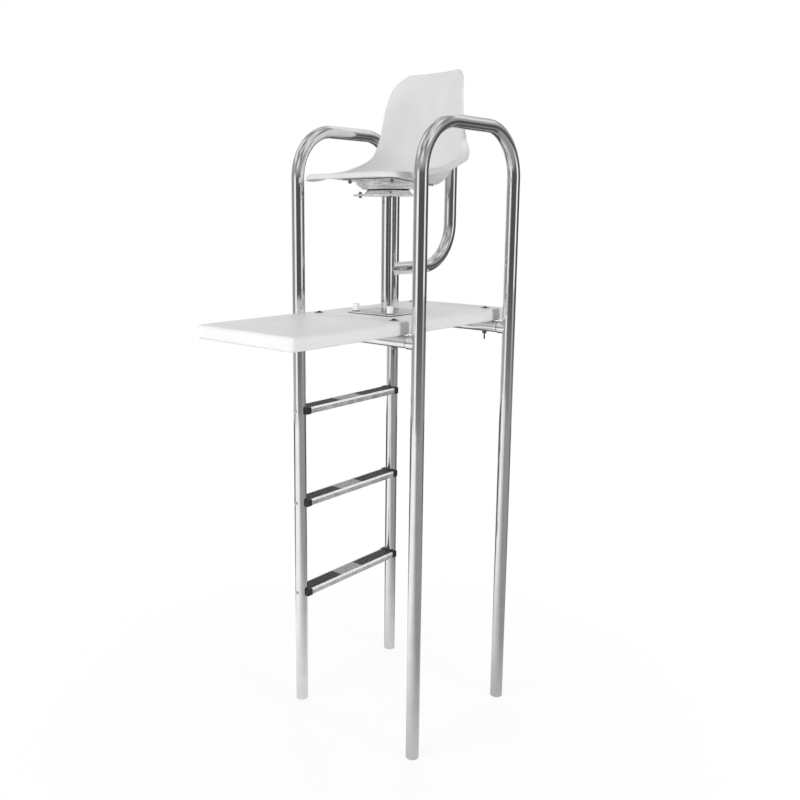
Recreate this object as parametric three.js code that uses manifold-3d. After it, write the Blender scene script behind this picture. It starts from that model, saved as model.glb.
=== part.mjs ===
// A lifeguard chair: two bent tube side frames, a long platform on two cross tubes, and a bucket
// seat that swivels on a post. A ladder of three treads is bolted between the legs on its right.
// Millimetres, +Z up, the person in the seat looks along -Y, so the ladder is on the -X side.
import * as THREE from 'three';
import { mergeVertices } from 'three/addons/utils/BufferGeometryUtils.js';
import Module from 'manifold-3d';

// Clearances
const restGap = 0.3; // left between two pieces that rest on each other or pass through one another
const cutOverrun = 3; // how far a cutting shape runs past the face that it cuts

// Side frames, each one bent tube: front leg, armrest and rear leg
const frameTubeDiameter = 43;
const frameTubeWall = 2.5;
const frameWidth = 514; // between the centre lines of the left and right legs
const frameDepth = 499; // between the centre lines of the front and rear legs
const armrestHeight = 2025; // centre line of the armrest above the floor
const frameBendRadius = 160;

// Platform board
const boardThickness = 42;
const boardTop = 1429; // above the floor
const boardFrontReach = 722; // from the middle of the legs forwards
const boardRearReach = 319; // from the middle of the legs rearwards
const boardCornerRadius = 32;
const boardEdgeRadius = 14;

// Cross tubes and their end collars
const crossTubeDiameter = 38.8;
const crossTubeWall = 2;
const collarDiameter = 43.4;
const collarLength = 17;
const boardCollarGap = 12.5; // between a collar and the side of the board

// Platform bolts, each with its washer, and the nuts with their washers under the cross tubes
const platformBoltInset = 46; // from the side of the board to the bolt
const platformBoltDiameter = 8;
const platformBoltHeadDiameter = 13;
const platformBoltHeadHeight = 3.5;
const platformWasherDiameter = 20;
const platformWasherThickness = 1.5;
const platformBoltThreadEnd = 20; // thread that shows below the nut
const platformNutDiameter = 15; // across its corners
const platformNutHeight = 6.5;
const platformNutWasherDiameter = 17;
const platformNutWasherThickness = 1.6;

// Base plate of the seat post
const basePlateSize = 190;
const basePlateThickness = 5;
const basePlateCornerRadius = 10;
const stubLength = 60; // length of the stub that the post slides over
const stubWall = 3;

// Base plate bolts, each with its washer and nut, and the white caps over their heads
const baseBoltSpread = 146;
const baseBoltDiameter = 10;
const baseBoltHeadDiameter = 15;
const baseBoltHeadHeight = 9;
const baseWasherDiameter = 26;
const baseWasherThickness = 2;
const baseNutDiameter = 18;
const baseNutHeight = 8;
const baseBoltThreadEnd = 5;
const capDiameter = 23;
const capHeight = 23;
const capWall = 2;
const capRounding = 4;

// Seat post
const postDiameter = 42.4;
const postWall = 2.6;
const postSetback = 91; // post axis in front of the middle of the legs
const postTop = 1807; // underside of the plate on the post

// Holder tube behind the seat, for a flag or a parasol
const holderDiameter = 42.4;
const holderWall = 2;
const holderHeight = 1572; // centre line of its horizontal run
const holderReach = 343; // from the post axis to its upright run
const holderBendRadius = 150;
const holderTop = 1990;

// Plate on the post and the lower half of the swivel, bolted to each other
const topPlateSize = 166;
const topPlateThickness = 4;
const swivelCornerRadius = 9;
const drumFlangeThickness = 2;
const drumFootRadius = 79;
const drumHeadRadius = 70;
const drumHeight = 11.5;
const swivelSheet = 2;
const swivelBoltSpread = 128;
const swivelBoltDiameter = 8;
const swivelBoltHeadDiameter = 13;
const swivelBoltHeadHeight = 7.5;
const swivelNutHeight = 4;
const swivelBoltThreadEnd = 1.5;

// Ball ring between the two halves of the swivel, and the pin that holds them together
const ballRingRadius = 69;
const ballRingWidth = 12;
const ballRingHeight = 3.6;
const pinDiameter = 12;
const pinHeadDiameter = 22;
const pinHeadHeight = 4;
const pinNutDiameter = 21;
const pinNutHeight = 9;
const pinEndLength = 5;

// Upper half of the swivel: a round dish pressed into a plate that leans back with the seat
const seatTilt = THREE.MathUtils.degToRad(5);
const dishFloorRadius = 86;
const dishMouthRadius = 104;
const dishDepth = 22.5; // from the dish floor to the top of the plate, on the post axis
const dishRimHeight = 5;
const dishFlareHeight = 12;
const upperPlateSize = 215;
const upperPlateThickness = 2.5;
const upperPlateCornerRadius = 12;
const upperPlateOpeningRadius = 60;

// Seat screws through shell and plate, each with its nut
const seatScrewSpread = 176;
const seatScrewDiameter = 8;
const seatScrewHeadDiameter = 16;
const seatScrewHeadHeight = 3;
const seatNutDiameter = 13;
const seatNutHeight = 6.5;
const seatScrewThreadEnd = 3;

// Seat shell, one moulded piece
const seatWidth = 398; // between the folds where the rim turns down
const seatDepth = 400;
const seatHeight = 375;
const shellThickness = 4.5;
const rimBendRadius = 6;
const rimSkirt = 30; // straight part of the turned-down rim where it is deepest
const rimTurn = THREE.MathUtils.degToRad(68);

// Sections of the shell from the front lip to the top of the back, in the leaning plate's frame.
// Shares of the seat's depth, height and half width: centre y, centre z, fold y, fold z, half width,
// then the share of the half width over which the section stays flat, and that of the rim's skirt.
const sectionShares = [
  [-0.522, 0.0, -0.482, 0.001, 1.0, 0.56, 0.42],
  [-0.375, 0.0, -0.335, 0.016, 1.0, 0.56, 0.5],
  [-0.2, 0.0, -0.188, 0.051, 1.0, 0.56, 0.62],
  [0.0, 0.0, 0.03, 0.103, 0.99, 0.56, 0.72],
  [0.15, 0.0, 0.16, 0.154, 0.973, 0.56, 0.9],
  [0.265, 0.0, 0.268, 0.208, 0.943, 0.52, 0.95],
  [0.385, 0.083, 0.335, 0.285, 0.903, 0.1, 0.75],
  [0.455, 0.21, 0.358, 0.381, 0.863, 0.0, 0.38],
  [0.48, 0.373, 0.37, 0.493, 0.831, 0.0, 0.12],
  [0.485, 0.547, 0.376, 0.608, 0.804, 0.0, 0.04],
  [0.49, 0.707, 0.382, 0.725, 0.769, 0.0, 0.04],
  [0.5, 0.859, 0.41, 0.868, 0.714, 0.0, 0.04],
  [0.523, 1.008, 0.468, 1.008, 0.632, 0.0, 0.04],
];
const frontCornerShare = 0.3; // corner radius as a share of the half width there
const topCornerShare = 0.27;
const sectionCurvePower = 2.2;

// Ladder treads
const treadHeights = [1092.5, 760, 425.5]; // top of each tread above the floor
const treadWidth = 65;
const treadThickness = 22;
const treadSheet = 1.6;
const treadEndGap = 3; // between the end of the metal and the leg
const insertWidth = 50;
const insertThickness = 1.6;
const endCapLip = 0.8; // how far an end cap stands proud of the tread all round
const endCapPlug = 20;
const treadBoltDiameter = 8;
const treadBoltHeadDiameter = 13;
const treadBoltHeadHeight = 4;
const treadBoltEngagement = 14; // in the end cap's plug

// Facets
const tubeSides = 16;
const smallSides = 8;
const hexSides = 6;
const roundSides = 28;
const bendSteps = 6;
const cornerSteps = 3;
const edgeSteps = 3;
const shellColumns = 12;
const shellRowsPerSection = 2;
const shellCornerRows = 4;
const rimRows = 2;

// Places that follow from the sizes above
const legX = frameWidth / 2;
const legY = frameDepth / 2;
const legRadius = frameTubeDiameter / 2;
const boardWidth = frameWidth - frameTubeDiameter - 2 * (collarLength + boardCollarGap);
const boardBottom = boardTop - boardThickness;
const platformBoltSpread = boardWidth - 2 * platformBoltInset;
const crossTubeZ = boardBottom - restGap - crossTubeDiameter / 2;
const postY = -postSetback;
const basePlateTop = boardTop + restGap + basePlateThickness;
const postBoreRadius = postDiameter / 2 - postWall;
const stubRadius = postBoreRadius - restGap;
const topPlateTop = postTop + topPlateThickness;
const drumBottom = topPlateTop + restGap;
const drumTop = drumBottom + drumFlangeThickness + drumHeight;
const ballRingBottom = drumTop + restGap;
const dishFloor = ballRingBottom + ballRingHeight + restGap;
const seatPivotZ = dishFloor + dishDepth;
const panUnderside = restGap;
const panTop = panUnderside + shellThickness;
const boxCentreX = (legRadius - Math.max(treadWidth / 2 + endCapLip, legRadius)) / 2;
const boxCentreY = (boardRearReach - boardFrontReach) / 2;

const steel = { roughness: 0.14, metalness: 1 };
const materials = {
  polished: () => new THREE.MeshStandardMaterial({ color: 0xb8bbbf, ...steel }),
  plate: () => new THREE.MeshStandardMaterial({ color: 0xc6c8ca, roughness: 0.3, metalness: 1 }),
  fastener: () => new THREE.MeshStandardMaterial({ color: 0x8e9092, roughness: 0.35, metalness: 1 }),
  board: () => new THREE.MeshStandardMaterial({ color: 0xf0f1f1, roughness: 0.45, metalness: 0 }),
  shell: () => new THREE.MeshStandardMaterial({ color: 0xe6e7e7, roughness: 0.4, metalness: 0 }),
  cap: () => new THREE.MeshStandardMaterial({ color: 0xf4f4f2, roughness: 0.35, metalness: 0 }),
  black: () => new THREE.MeshStandardMaterial({ color: 0x2a2b2d, roughness: 0.55, metalness: 0 }),
  rubber: () => new THREE.MeshStandardMaterial({ color: 0x333436, roughness: 0.85, metalness: 0 }),
};

const wasm = await Module();
wasm.setup();

// A solid for joining and cutting, from a closed geometry.
function solidOf(geometry) {
  const bare = geometry.clone();
  bare.deleteAttribute('normal');
  bare.deleteAttribute('uv');
  const merged = mergeVertices(bare);
  const index = merged.index.array;
  const triangles = [];
  for (let i = 0; i < index.length; i += 3) {
    const [a, b, c] = [index[i], index[i + 1], index[i + 2]];
    if (a !== b && b !== c && c !== a) triangles.push(a, b, c);
  }
  const mesh = new wasm.Mesh({
    numProp: 3,
    vertProperties: new Float32Array(merged.attributes.position.array),
    triVerts: new Uint32Array(triangles),
  });
  return new wasm.Manifold(mesh);
}

// Joins the added geometries to the body, then cuts the removed ones out of it.
function shaped(body, { add = [], cut = [] } = {}) {
  let solid = solidOf(body);
  for (const piece of add) solid = solid.add(solidOf(piece));
  for (const tool of cut) solid = solid.subtract(solidOf(tool));
  const mesh = solid.getMesh();
  const geometry = new THREE.BufferGeometry();
  geometry.setAttribute('position', new THREE.BufferAttribute(mesh.vertProperties, 3));
  geometry.setIndex(new THREE.BufferAttribute(mesh.triVerts, 1));
  geometry.computeVertexNormals();
  return geometry;
}

function circlePoints(radius, sides) {
  return Array.from({ length: sides }, (_, i) => {
    const angle = (i / sides) * 2 * Math.PI;
    return new THREE.Vector2(radius * Math.cos(angle), radius * Math.sin(angle));
  });
}

// A straight bar along Z from z = 0 upwards.
function bar(radius, length, sides = smallSides) {
  const geometry = new THREE.CylinderGeometry(radius, radius, length, sides);
  geometry.rotateX(Math.PI / 2);
  geometry.translate(0, 0, length / 2);
  return geometry;
}

// A body turned round the Z axis; the profile is radius and height, listed from the bottom up the
// outside, and starts and ends on the axis or closes on itself.
function turned(profile, sides = roundSides) {
  const points = profile.map(([radius, height]) => new THREE.Vector2(radius, height));
  const geometry = new THREE.LatheGeometry(points, sides);
  geometry.rotateX(Math.PI / 2);
  return geometry;
}

function roundedRectangle(width, depth, radius) {
  const [x, y] = [width / 2 - radius, depth / 2 - radius];
  const shape = new THREE.Shape();
  shape.absarc(x, y, radius, 0, Math.PI / 2);
  shape.absarc(-x, y, radius, Math.PI / 2, Math.PI);
  shape.absarc(-x, -y, radius, Math.PI, 1.5 * Math.PI);
  shape.absarc(x, -y, radius, 1.5 * Math.PI, 2 * Math.PI);
  return shape;
}

// A flat plate from z = 0 upwards.
function plate(width, depth, thickness, cornerRadius) {
  const shape = roundedRectangle(width, depth, cornerRadius);
  const options = { depth: thickness, bevelEnabled: false, curveSegments: cornerSteps };
  return new THREE.ExtrudeGeometry(shape, options);
}

// A route of straight runs joined by round bends. Every straight run is one step and every bend
// has the same number of steps, so each station gives its own point and direction.
class BentRoute extends THREE.Curve {
  constructor(corners, bendRadius) {
    super();
    const heading = (from, to) => to.clone().sub(from).normalize();
    const last = corners.length - 1;
    this.stations = [{ point: corners[0], tangent: heading(corners[0], corners[1]) }];
    for (let i = 1; i < last; i += 1) {
      const before = heading(corners[i - 1], corners[i]);
      const after = heading(corners[i], corners[i + 1]);
      const angle = before.angleTo(after);
      const start = corners[i].clone().addScaledVector(before, -bendRadius * Math.tan(angle / 2));
      const inside = after.clone().addScaledVector(before, -after.dot(before)).normalize();
      for (let k = 0; k <= bendSteps; k += 1) {
        const turn = (k / bendSteps) * angle;
        const [along, across] = [Math.sin(turn), 1 - Math.cos(turn)];
        const point = start.clone().addScaledVector(before, bendRadius * along);
        point.addScaledVector(inside, bendRadius * across);
        const tangent = before.clone().multiplyScalar(Math.cos(turn)).addScaledVector(inside, along);
        this.stations.push({ point, tangent });
      }
    }
    this.stations.push({ point: corners[last], tangent: heading(corners[last - 1], corners[last]) });
  }

  getUtoTmapping(u) {
    return u;
  }

  station(t) {
    return this.stations[Math.round(t * (this.stations.length - 1))];
  }

  getPoint(t, target = new THREE.Vector3()) {
    return target.copy(this.station(t).point);
  }

  getTangent(t, target = new THREE.Vector3()) {
    return target.copy(this.station(t).tangent);
  }
}

// A hollow tube with open ends along a route.
function tubeAlong(route, diameter, wall) {
  const shape = new THREE.Shape(circlePoints(diameter / 2, tubeSides));
  shape.holes.push(new THREE.Path(circlePoints(diameter / 2 - wall, tubeSides)));
  return new THREE.ExtrudeGeometry(shape, { steps: route.stations.length - 1, extrudePath: route });
}

function straightTube(diameter, wall, length) {
  const shape = new THREE.Shape(circlePoints(diameter / 2, tubeSides));
  shape.holes.push(new THREE.Path(circlePoints(diameter / 2 - wall, tubeSides)));
  return new THREE.ExtrudeGeometry(shape, { depth: length, bevelEnabled: false });
}

const chair = new THREE.Group();

function place(parent, name, geometry, material, x = 0, y = 0, z = 0) {
  const mesh = new THREE.Mesh(geometry, material);
  mesh.name = name;
  mesh.position.set(x, y, z);
  parent.add(mesh);
  return mesh;
}

// The hole that a fastener passes through. Its flats clear the shank by a rest gap all round.
function holeFor(diameter, length, x, y, z) {
  const radius = (diameter / 2 + restGap) / Math.cos(Math.PI / smallSides);
  const tool = bar(radius, length + 2 * cutOverrun);
  tool.translate(x, y, z - cutOverrun);
  return tool;
}

function fourCorners(spreadX, spreadY) {
  return [
    ['front_right', -spreadX / 2, -spreadY / 2],
    ['front_left', spreadX / 2, -spreadY / 2],
    ['rear_left', spreadX / 2, spreadY / 2],
    ['rear_right', -spreadX / 2, spreadY / 2],
  ];
}

const treadAxisZ = (top) => top - treadThickness / 2;

// Side frames. The right one has the holes for the tread bolts.
function sideFrame(x, boltHeights) {
  const corners = [
    new THREE.Vector3(0, -legY, 0),
    new THREE.Vector3(0, -legY, armrestHeight),
    new THREE.Vector3(0, legY, armrestHeight),
    new THREE.Vector3(0, legY, 0),
  ];
  const tube = tubeAlong(new BentRoute(corners, frameBendRadius), frameTubeDiameter, frameTubeWall);
  const cut = [];
  for (const height of boltHeights) {
    for (const side of [-1, 1]) {
      const tool = bar(treadBoltDiameter / 2 + restGap, frameTubeDiameter + 2 * cutOverrun);
      tool.rotateX(Math.PI / 2);
      tool.translate(0, side * legY + legRadius + cutOverrun, height);
      cut.push(tool);
    }
  }
  const name = x < 0 ? 'right_side_frame' : 'left_side_frame';
  place(chair, name, shaped(tube, { cut }), materials.polished(), x);
}
sideFrame(-legX, treadHeights.map(treadAxisZ));
sideFrame(legX, []);

// A cutting bar round a leg, for pieces that are saddled against it.
function legTool(x, y, bottom, height) {
  const tool = bar(legRadius + restGap, height, tubeSides);
  tool.translate(x, y, bottom);
  return tool;
}

// Cross tubes and collars, saddled against the legs.
for (const [end, y] of [['front', -legY], ['rear', legY]]) {
  const tube = straightTube(crossTubeDiameter, crossTubeWall, frameWidth);
  tube.rotateY(Math.PI / 2);
  tube.translate(-legX, 0, 0);
  const toolHeight = collarDiameter + 2 * cutOverrun;
  const legs = [-legX, legX].map((x) => legTool(x, 0, -toolHeight / 2, toolHeight));
  const bolts = [-1, 1].map((side) =>
    holeFor(platformBoltDiameter, crossTubeDiameter, (side * platformBoltSpread) / 2, 0, -crossTubeDiameter / 2),
  );
  const crossTube = shaped(tube, { cut: [...legs, ...bolts] });
  place(chair, `${end}_cross_tube`, crossTube, materials.polished(), 0, y, crossTubeZ);

  for (const [side, sign] of [['right', -1], ['left', 1]]) {
    const length = collarLength + legRadius;
    const wall = (collarDiameter - crossTubeDiameter) / 2 - restGap;
    const ring = straightTube(collarDiameter, wall, length);
    ring.rotateY(Math.PI / 2);
    ring.translate(sign > 0 ? -length : 0, 0, 0);
    const leg = legTool(0, 0, -toolHeight / 2, toolHeight);
    const collar = shaped(ring, { cut: [leg] });
    const name = `${end}_${side}_cross_tube_collar`;
    place(chair, name, collar, materials.plate(), sign * legX, y, crossTubeZ);
  }
}

// Platform board with the holes for its own bolts and for those of the base plate.
const platformBoltPlaces = fourCorners(platformBoltSpread, frameDepth);
const baseBoltPlaces = fourCorners(baseBoltSpread, baseBoltSpread);
{
  const length = boardFrontReach + boardRearReach;
  const outline = roundedRectangle(boardWidth, length, boardCornerRadius);
  const board = new THREE.ExtrudeGeometry(outline, {
    depth: boardThickness - 2 * boardEdgeRadius,
    bevelEnabled: true,
    bevelThickness: boardEdgeRadius,
    bevelSize: boardEdgeRadius,
    bevelOffset: -boardEdgeRadius,
    bevelSegments: edgeSteps,
    curveSegments: cornerSteps,
  });
  board.translate(0, (boardRearReach - boardFrontReach) / 2, boardBottom + boardEdgeRadius);
  const cut = [
    ...platformBoltPlaces.map(([, x, y]) =>
      holeFor(platformBoltDiameter, boardThickness, x, y, boardBottom),
    ),
    ...baseBoltPlaces.map(([, x, y]) =>
      holeFor(baseBoltDiameter, boardThickness, x, postY + y, boardBottom),
    ),
  ];
  place(chair, 'platform_board', shaped(board, { cut }), materials.board());
}

// A domed head on a washer, standing on z = 0, with its shank below.
function headedShank(shankDiameter, shankLength, headDiameter, headHeight, washerDiameter, washer) {
  const dome = headHeight / 2;
  return turned(
    [
      [0, -shankLength],
      [shankDiameter / 2, -shankLength],
      [shankDiameter / 2, 0],
      [washerDiameter / 2, 0],
      [washerDiameter / 2, washer],
      [headDiameter / 2, washer],
      [headDiameter / 2, washer + dome],
      [headDiameter / 3, washer + headHeight],
      [0, washer + headHeight],
    ],
    smallSides,
  );
}

// Platform bolts down through the board and the cross tubes, with nuts below.
const crossTubeBottom = crossTubeZ - crossTubeDiameter / 2;
{
  const headSeat = boardTop + restGap;
  const nutTop = crossTubeBottom - restGap;
  const nutStack = platformNutWasherThickness + platformNutHeight;
  const shank = headSeat - (nutTop - nutStack - platformBoltThreadEnd);
  for (const [corner, x, y] of platformBoltPlaces) {
    const bolt = headedShank(
      platformBoltDiameter,
      shank,
      platformBoltHeadDiameter,
      platformBoltHeadHeight,
      platformWasherDiameter,
      platformWasherThickness,
    );
    place(chair, `platform_bolt_${corner}`, shaped(bolt), materials.fastener(), x, y, headSeat);

    const washer = bar(platformNutWasherDiameter / 2, platformNutWasherThickness);
    washer.translate(0, 0, -platformNutWasherThickness);
    const hexHeight = nutStack - platformNutWasherThickness / 2;
    const hex = bar(platformNutDiameter / 2, hexHeight, hexSides);
    hex.translate(0, 0, -nutStack);
    const bore = holeFor(platformBoltDiameter, nutStack, 0, 0, -nutStack);
    const nut = shaped(washer, { add: [hex], cut: [bore] });
    place(chair, `platform_nut_${corner}`, nut, materials.fastener(), x, y, nutTop);
  }
}

// Base plate with the stub inside the foot of the post.
{
  const base = plate(basePlateSize, basePlateSize, basePlateThickness, basePlateCornerRadius);
  const stub = straightTube(2 * stubRadius, stubWall, basePlateThickness + stubLength);
  const cut = baseBoltPlaces.map(([, x, y]) =>
    holeFor(baseBoltDiameter, basePlateThickness, x, y, 0),
  );
  const bore = bar(stubRadius - stubWall, basePlateThickness + 2 * cutOverrun, tubeSides);
  bore.translate(0, 0, -cutOverrun);
  cut.push(bore);
  const geometry = shaped(base, { add: [stub], cut });
  place(chair, 'post_base_plate', geometry, materials.plate(), 0, postY, boardTop + restGap);
}

// A bolt from its head's seat at z = 0 down to a nut whose top lies at -grip.
function nuttedBolt(sizes) {
  const { diameter, head, headHeight, washer, washerHeight, grip, nut, nutHeight, end } = sizes;
  const length = washerHeight + grip + nutHeight + end;
  const shank = bar(diameter / 2, length);
  shank.translate(0, 0, washerHeight - length);
  const top = bar(head / 2, headHeight + washerHeight, hexSides);
  const disc = bar(washer / 2, washerHeight);
  const nutBody = bar(nut / 2, nutHeight, hexSides);
  nutBody.translate(0, 0, -grip - nutHeight);
  return shaped(shank, { add: [top, disc, nutBody] });
}

// Base plate bolts through plate and board, under white caps.
{
  const seat = basePlateTop + restGap;
  for (const [corner, x, y] of baseBoltPlaces) {
    const bolt = nuttedBolt({
      diameter: baseBoltDiameter,
      head: baseBoltHeadDiameter,
      headHeight: baseBoltHeadHeight,
      washer: baseWasherDiameter,
      washerHeight: baseWasherThickness,
      grip: seat - boardBottom + restGap,
      nut: baseNutDiameter,
      nutHeight: baseNutHeight,
      end: baseBoltThreadEnd,
    });
    place(chair, `base_bolt_${corner}`, bolt, materials.fastener(), x, postY + y, seat);

    const [outer, inner] = [capDiameter / 2, capDiameter / 2 - capWall];
    const cap = turned(
      [
        [0, capHeight - capWall],
        [inner - capRounding / 2, capHeight - capWall],
        [inner, capHeight - capWall - capRounding / 2],
        [inner, 0],
        [outer, 0],
        [outer, capHeight - capRounding],
        [outer - capRounding / 3, capHeight - capRounding / 3],
        [outer - capRounding, capHeight],
        [0, capHeight],
      ],
      roundSides / 2,
    );
    const capSeat = seat + baseWasherThickness + restGap;
    const name = `base_bolt_cap_${corner}`;
    place(chair, name, shaped(cap), materials.cap(), x, postY + y, capSeat);
  }
}

// Seat post, and the holder tube saddled against it.
{
  const bottom = basePlateTop + restGap;
  const length = postTop - restGap - bottom;
  const post = straightTube(postDiameter, postWall, length);
  place(chair, 'seat_post', shaped(post), materials.polished(), 0, postY, bottom);

  const corners = [
    new THREE.Vector3(0, 0, 0),
    new THREE.Vector3(0, holderReach, 0),
    new THREE.Vector3(0, holderReach, holderTop - holderHeight),
  ];
  const tube = tubeAlong(new BentRoute(corners, holderBendRadius), holderDiameter, holderWall);
  const toolHeight = holderDiameter + 2 * cutOverrun;
  const saddle = bar(postDiameter / 2 + restGap, toolHeight, tubeSides);
  saddle.translate(0, 0, -toolHeight / 2);
  const holder = shaped(tube, { cut: [saddle] });
  place(chair, 'holder_tube', holder, materials.polished(), 0, postY, holderHeight);
}

// Plate on the post, with a stub inside the top of the post.
const swivelBoltPlaces = fourCorners(swivelBoltSpread, swivelBoltSpread);
const pinHole = (length, z) => holeFor(pinDiameter, length, 0, 0, z);
{
  const top = plate(topPlateSize, topPlateSize, topPlateThickness, swivelCornerRadius);
  const stub = straightTube(2 * stubRadius, stubWall, stubLength + topPlateThickness);
  stub.translate(0, 0, -stubLength);
  const cut = swivelBoltPlaces.map(([, x, y]) =>
    holeFor(swivelBoltDiameter, topPlateThickness, x, y, 0),
  );
  cut.push(pinHole(topPlateThickness, 0));
  const geometry = shaped(top, { add: [stub], cut });
  place(chair, 'post_top_plate', geometry, materials.plate(), 0, postY, postTop);
}

// Lower half of the swivel: a square flange with a round drum pressed up out of it.
{
  const flange = plate(topPlateSize, topPlateSize, drumFlangeThickness, swivelCornerRadius);
  const top = drumFlangeThickness + drumHeight;
  const drum = turned([
    [drumFootRadius - swivelSheet, 0],
    [drumFootRadius, 0],
    [drumFootRadius, drumFlangeThickness],
    [drumHeadRadius, top],
    [0, top],
    [0, top - swivelSheet],
    [drumHeadRadius - swivelSheet, top - swivelSheet],
    [drumFootRadius - swivelSheet, drumFlangeThickness],
    [drumFootRadius - swivelSheet, 0],
  ]);
  const opening = bar(drumFootRadius - swivelSheet, drumFlangeThickness + 2 * cutOverrun, roundSides);
  opening.translate(0, 0, -cutOverrun);
  const bolts = swivelBoltPlaces.map(([, x, y]) =>
    holeFor(swivelBoltDiameter, drumFlangeThickness, x, y, 0),
  );
  const ring = shaped(flange, { cut: [opening, ...bolts] });
  const geometry = shaped(ring, { add: [drum], cut: [pinHole(top, 0)] });
  place(chair, 'swivel_lower_plate', geometry, materials.plate(), 0, postY, drumBottom);
}

// Bolts that hold the lower half of the swivel to the plate on the post.
for (const [corner, x, y] of swivelBoltPlaces) {
  const seat = drumBottom + drumFlangeThickness + restGap;
  const bolt = nuttedBolt({
    diameter: swivelBoltDiameter,
    head: swivelBoltHeadDiameter,
    headHeight: swivelBoltHeadHeight,
    washer: swivelBoltHeadDiameter,
    washerHeight: drumFlangeThickness / 2,
    grip: seat - postTop + restGap,
    nut: swivelBoltHeadDiameter,
    nutHeight: swivelNutHeight,
    end: swivelBoltThreadEnd,
  });
  place(chair, `swivel_bolt_${corner}`, bolt, materials.fastener(), x, postY + y, seat);
}

// Ball ring that carries the upper half of the swivel.
{
  const [outer, inner] = [ballRingRadius, ballRingRadius - ballRingWidth];
  const bulge = ballRingHeight / 2;
  const ring = turned([
    [inner, 0],
    [outer - bulge, 0],
    [outer, bulge],
    [outer - bulge, ballRingHeight],
    [inner, ballRingHeight],
    [inner, 0],
  ]);
  place(chair, 'swivel_ball_ring', shaped(ring), materials.black(), 0, postY, ballRingBottom);
}

// Everything that turns with the seat.
const turning = new THREE.Group();
turning.position.set(0, postY, dishFloor);
chair.add(turning);

// The leaning frame of the upper plate and the seat; z = 0 is the top of the plate.
const leaning = new THREE.Group();
leaning.position.set(0, 0, dishDepth);
leaning.rotation.x = -seatTilt;
turning.add(leaning);

const seatScrewPlaces = fourCorners(seatScrewSpread, seatScrewSpread);
{
  const wallTop = dishDepth + (upperPlateSize / 2) * Math.tan(seatTilt);
  const dish = turned([
    [0, 0],
    [dishFloorRadius, 0],
    [dishFloorRadius + swivelSheet, dishRimHeight],
    [dishMouthRadius, dishRimHeight + dishFlareHeight],
    [dishMouthRadius, wallTop],
    [dishMouthRadius - swivelSheet, wallTop],
    [dishMouthRadius - swivelSheet, dishRimHeight + dishFlareHeight + swivelSheet / 2],
    [dishFloorRadius, dishRimHeight + swivelSheet / 2],
    [dishFloorRadius - swivelSheet, swivelSheet],
    [0, swivelSheet],
  ]);
  const toPlate = new THREE.Matrix4();
  toPlate.makeRotationX(-seatTilt).setPosition(0, 0, dishDepth);
  const above = new THREE.BoxGeometry(2 * upperPlateSize, 2 * upperPlateSize, wallTop);
  above.translate(0, 0, wallTop / 2 - upperPlateThickness / 2);
  above.applyMatrix4(toPlate);
  const bowl = shaped(dish, { cut: [above] });

  const sheet = plate(upperPlateSize, upperPlateSize, upperPlateThickness, upperPlateCornerRadius);
  const opening = bar(upperPlateOpeningRadius, upperPlateThickness + 2 * cutOverrun, roundSides);
  opening.translate(0, 0, -cutOverrun);
  const screws = seatScrewPlaces.map(([, x, y]) =>
    holeFor(seatScrewDiameter, upperPlateThickness, x, y, 0),
  );
  const leaningSheet = shaped(sheet, { cut: [opening, ...screws] });
  leaningSheet.translate(0, 0, -upperPlateThickness);
  leaningSheet.applyMatrix4(toPlate);
  const geometry = shaped(bowl, { add: [leaningSheet], cut: [pinHole(swivelSheet, 0)] });
  place(turning, 'swivel_upper_plate', geometry, materials.plate());
}

// Pin through both halves of the swivel, with its head in the dish and its nut in the stub.
{
  const headSeat = swivelSheet + restGap;
  const nutTop = postTop - restGap - dishFloor;
  const end = nutTop - pinNutHeight - pinEndLength;
  const shank = bar(pinDiameter / 2, headSeat + pinHeadHeight / 2 - end, tubeSides);
  shank.translate(0, 0, end);
  const head = bar(pinHeadDiameter / 2, pinHeadHeight, tubeSides);
  head.translate(0, 0, headSeat);
  const nut = bar(pinNutDiameter / 2, pinNutHeight, hexSides);
  nut.translate(0, 0, nutTop - pinNutHeight);
  const geometry = shaped(shank, { add: [head, nut] });
  place(turning, 'swivel_centre_pin', geometry, materials.fastener());
}

// Seat screws: low heads on the pan, nuts under the plate.
for (const [corner, x, y] of seatScrewPlaces) {
  const seat = panTop + restGap;
  const screw = nuttedBolt({
    diameter: seatScrewDiameter,
    head: seatScrewHeadDiameter,
    headHeight: seatScrewHeadHeight / 2,
    washer: seatScrewHeadDiameter,
    washerHeight: seatScrewHeadHeight / 2,
    grip: seat + upperPlateThickness + restGap,
    nut: seatNutDiameter,
    nutHeight: seatNutHeight,
    end: seatScrewThreadEnd,
  });
  place(leaning, `seat_screw_${corner}`, screw, materials.fastener(), x, y, seat);
}

// The row of shell points at a section position from 0 (front lip) to 1 (top of the back), with the
// half width drawn in by the given amount where a corner is rounded.
const centreLine = new THREE.CatmullRomCurve3(
  sectionShares.map(([y, z]) => new THREE.Vector3(0, y * seatDepth, panTop + z * seatHeight)),
);
const foldLine = new THREE.CatmullRomCurve3(
  sectionShares.map(
    ([, , y, z, x]) =>
      new THREE.Vector3((x * seatWidth) / 2, y * seatDepth, panTop + z * seatHeight),
  ),
);

const [flatColumn, skirtColumn] = [5, 6];

function sectionShareAt(position, column) {
  const scaled = position * (sectionShares.length - 1);
  const low = Math.min(Math.floor(scaled), sectionShares.length - 2);
  const [below, above] = [sectionShares[low][column], sectionShares[low + 1][column]];
  return THREE.MathUtils.lerp(below, above, scaled - low);
}

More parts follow.
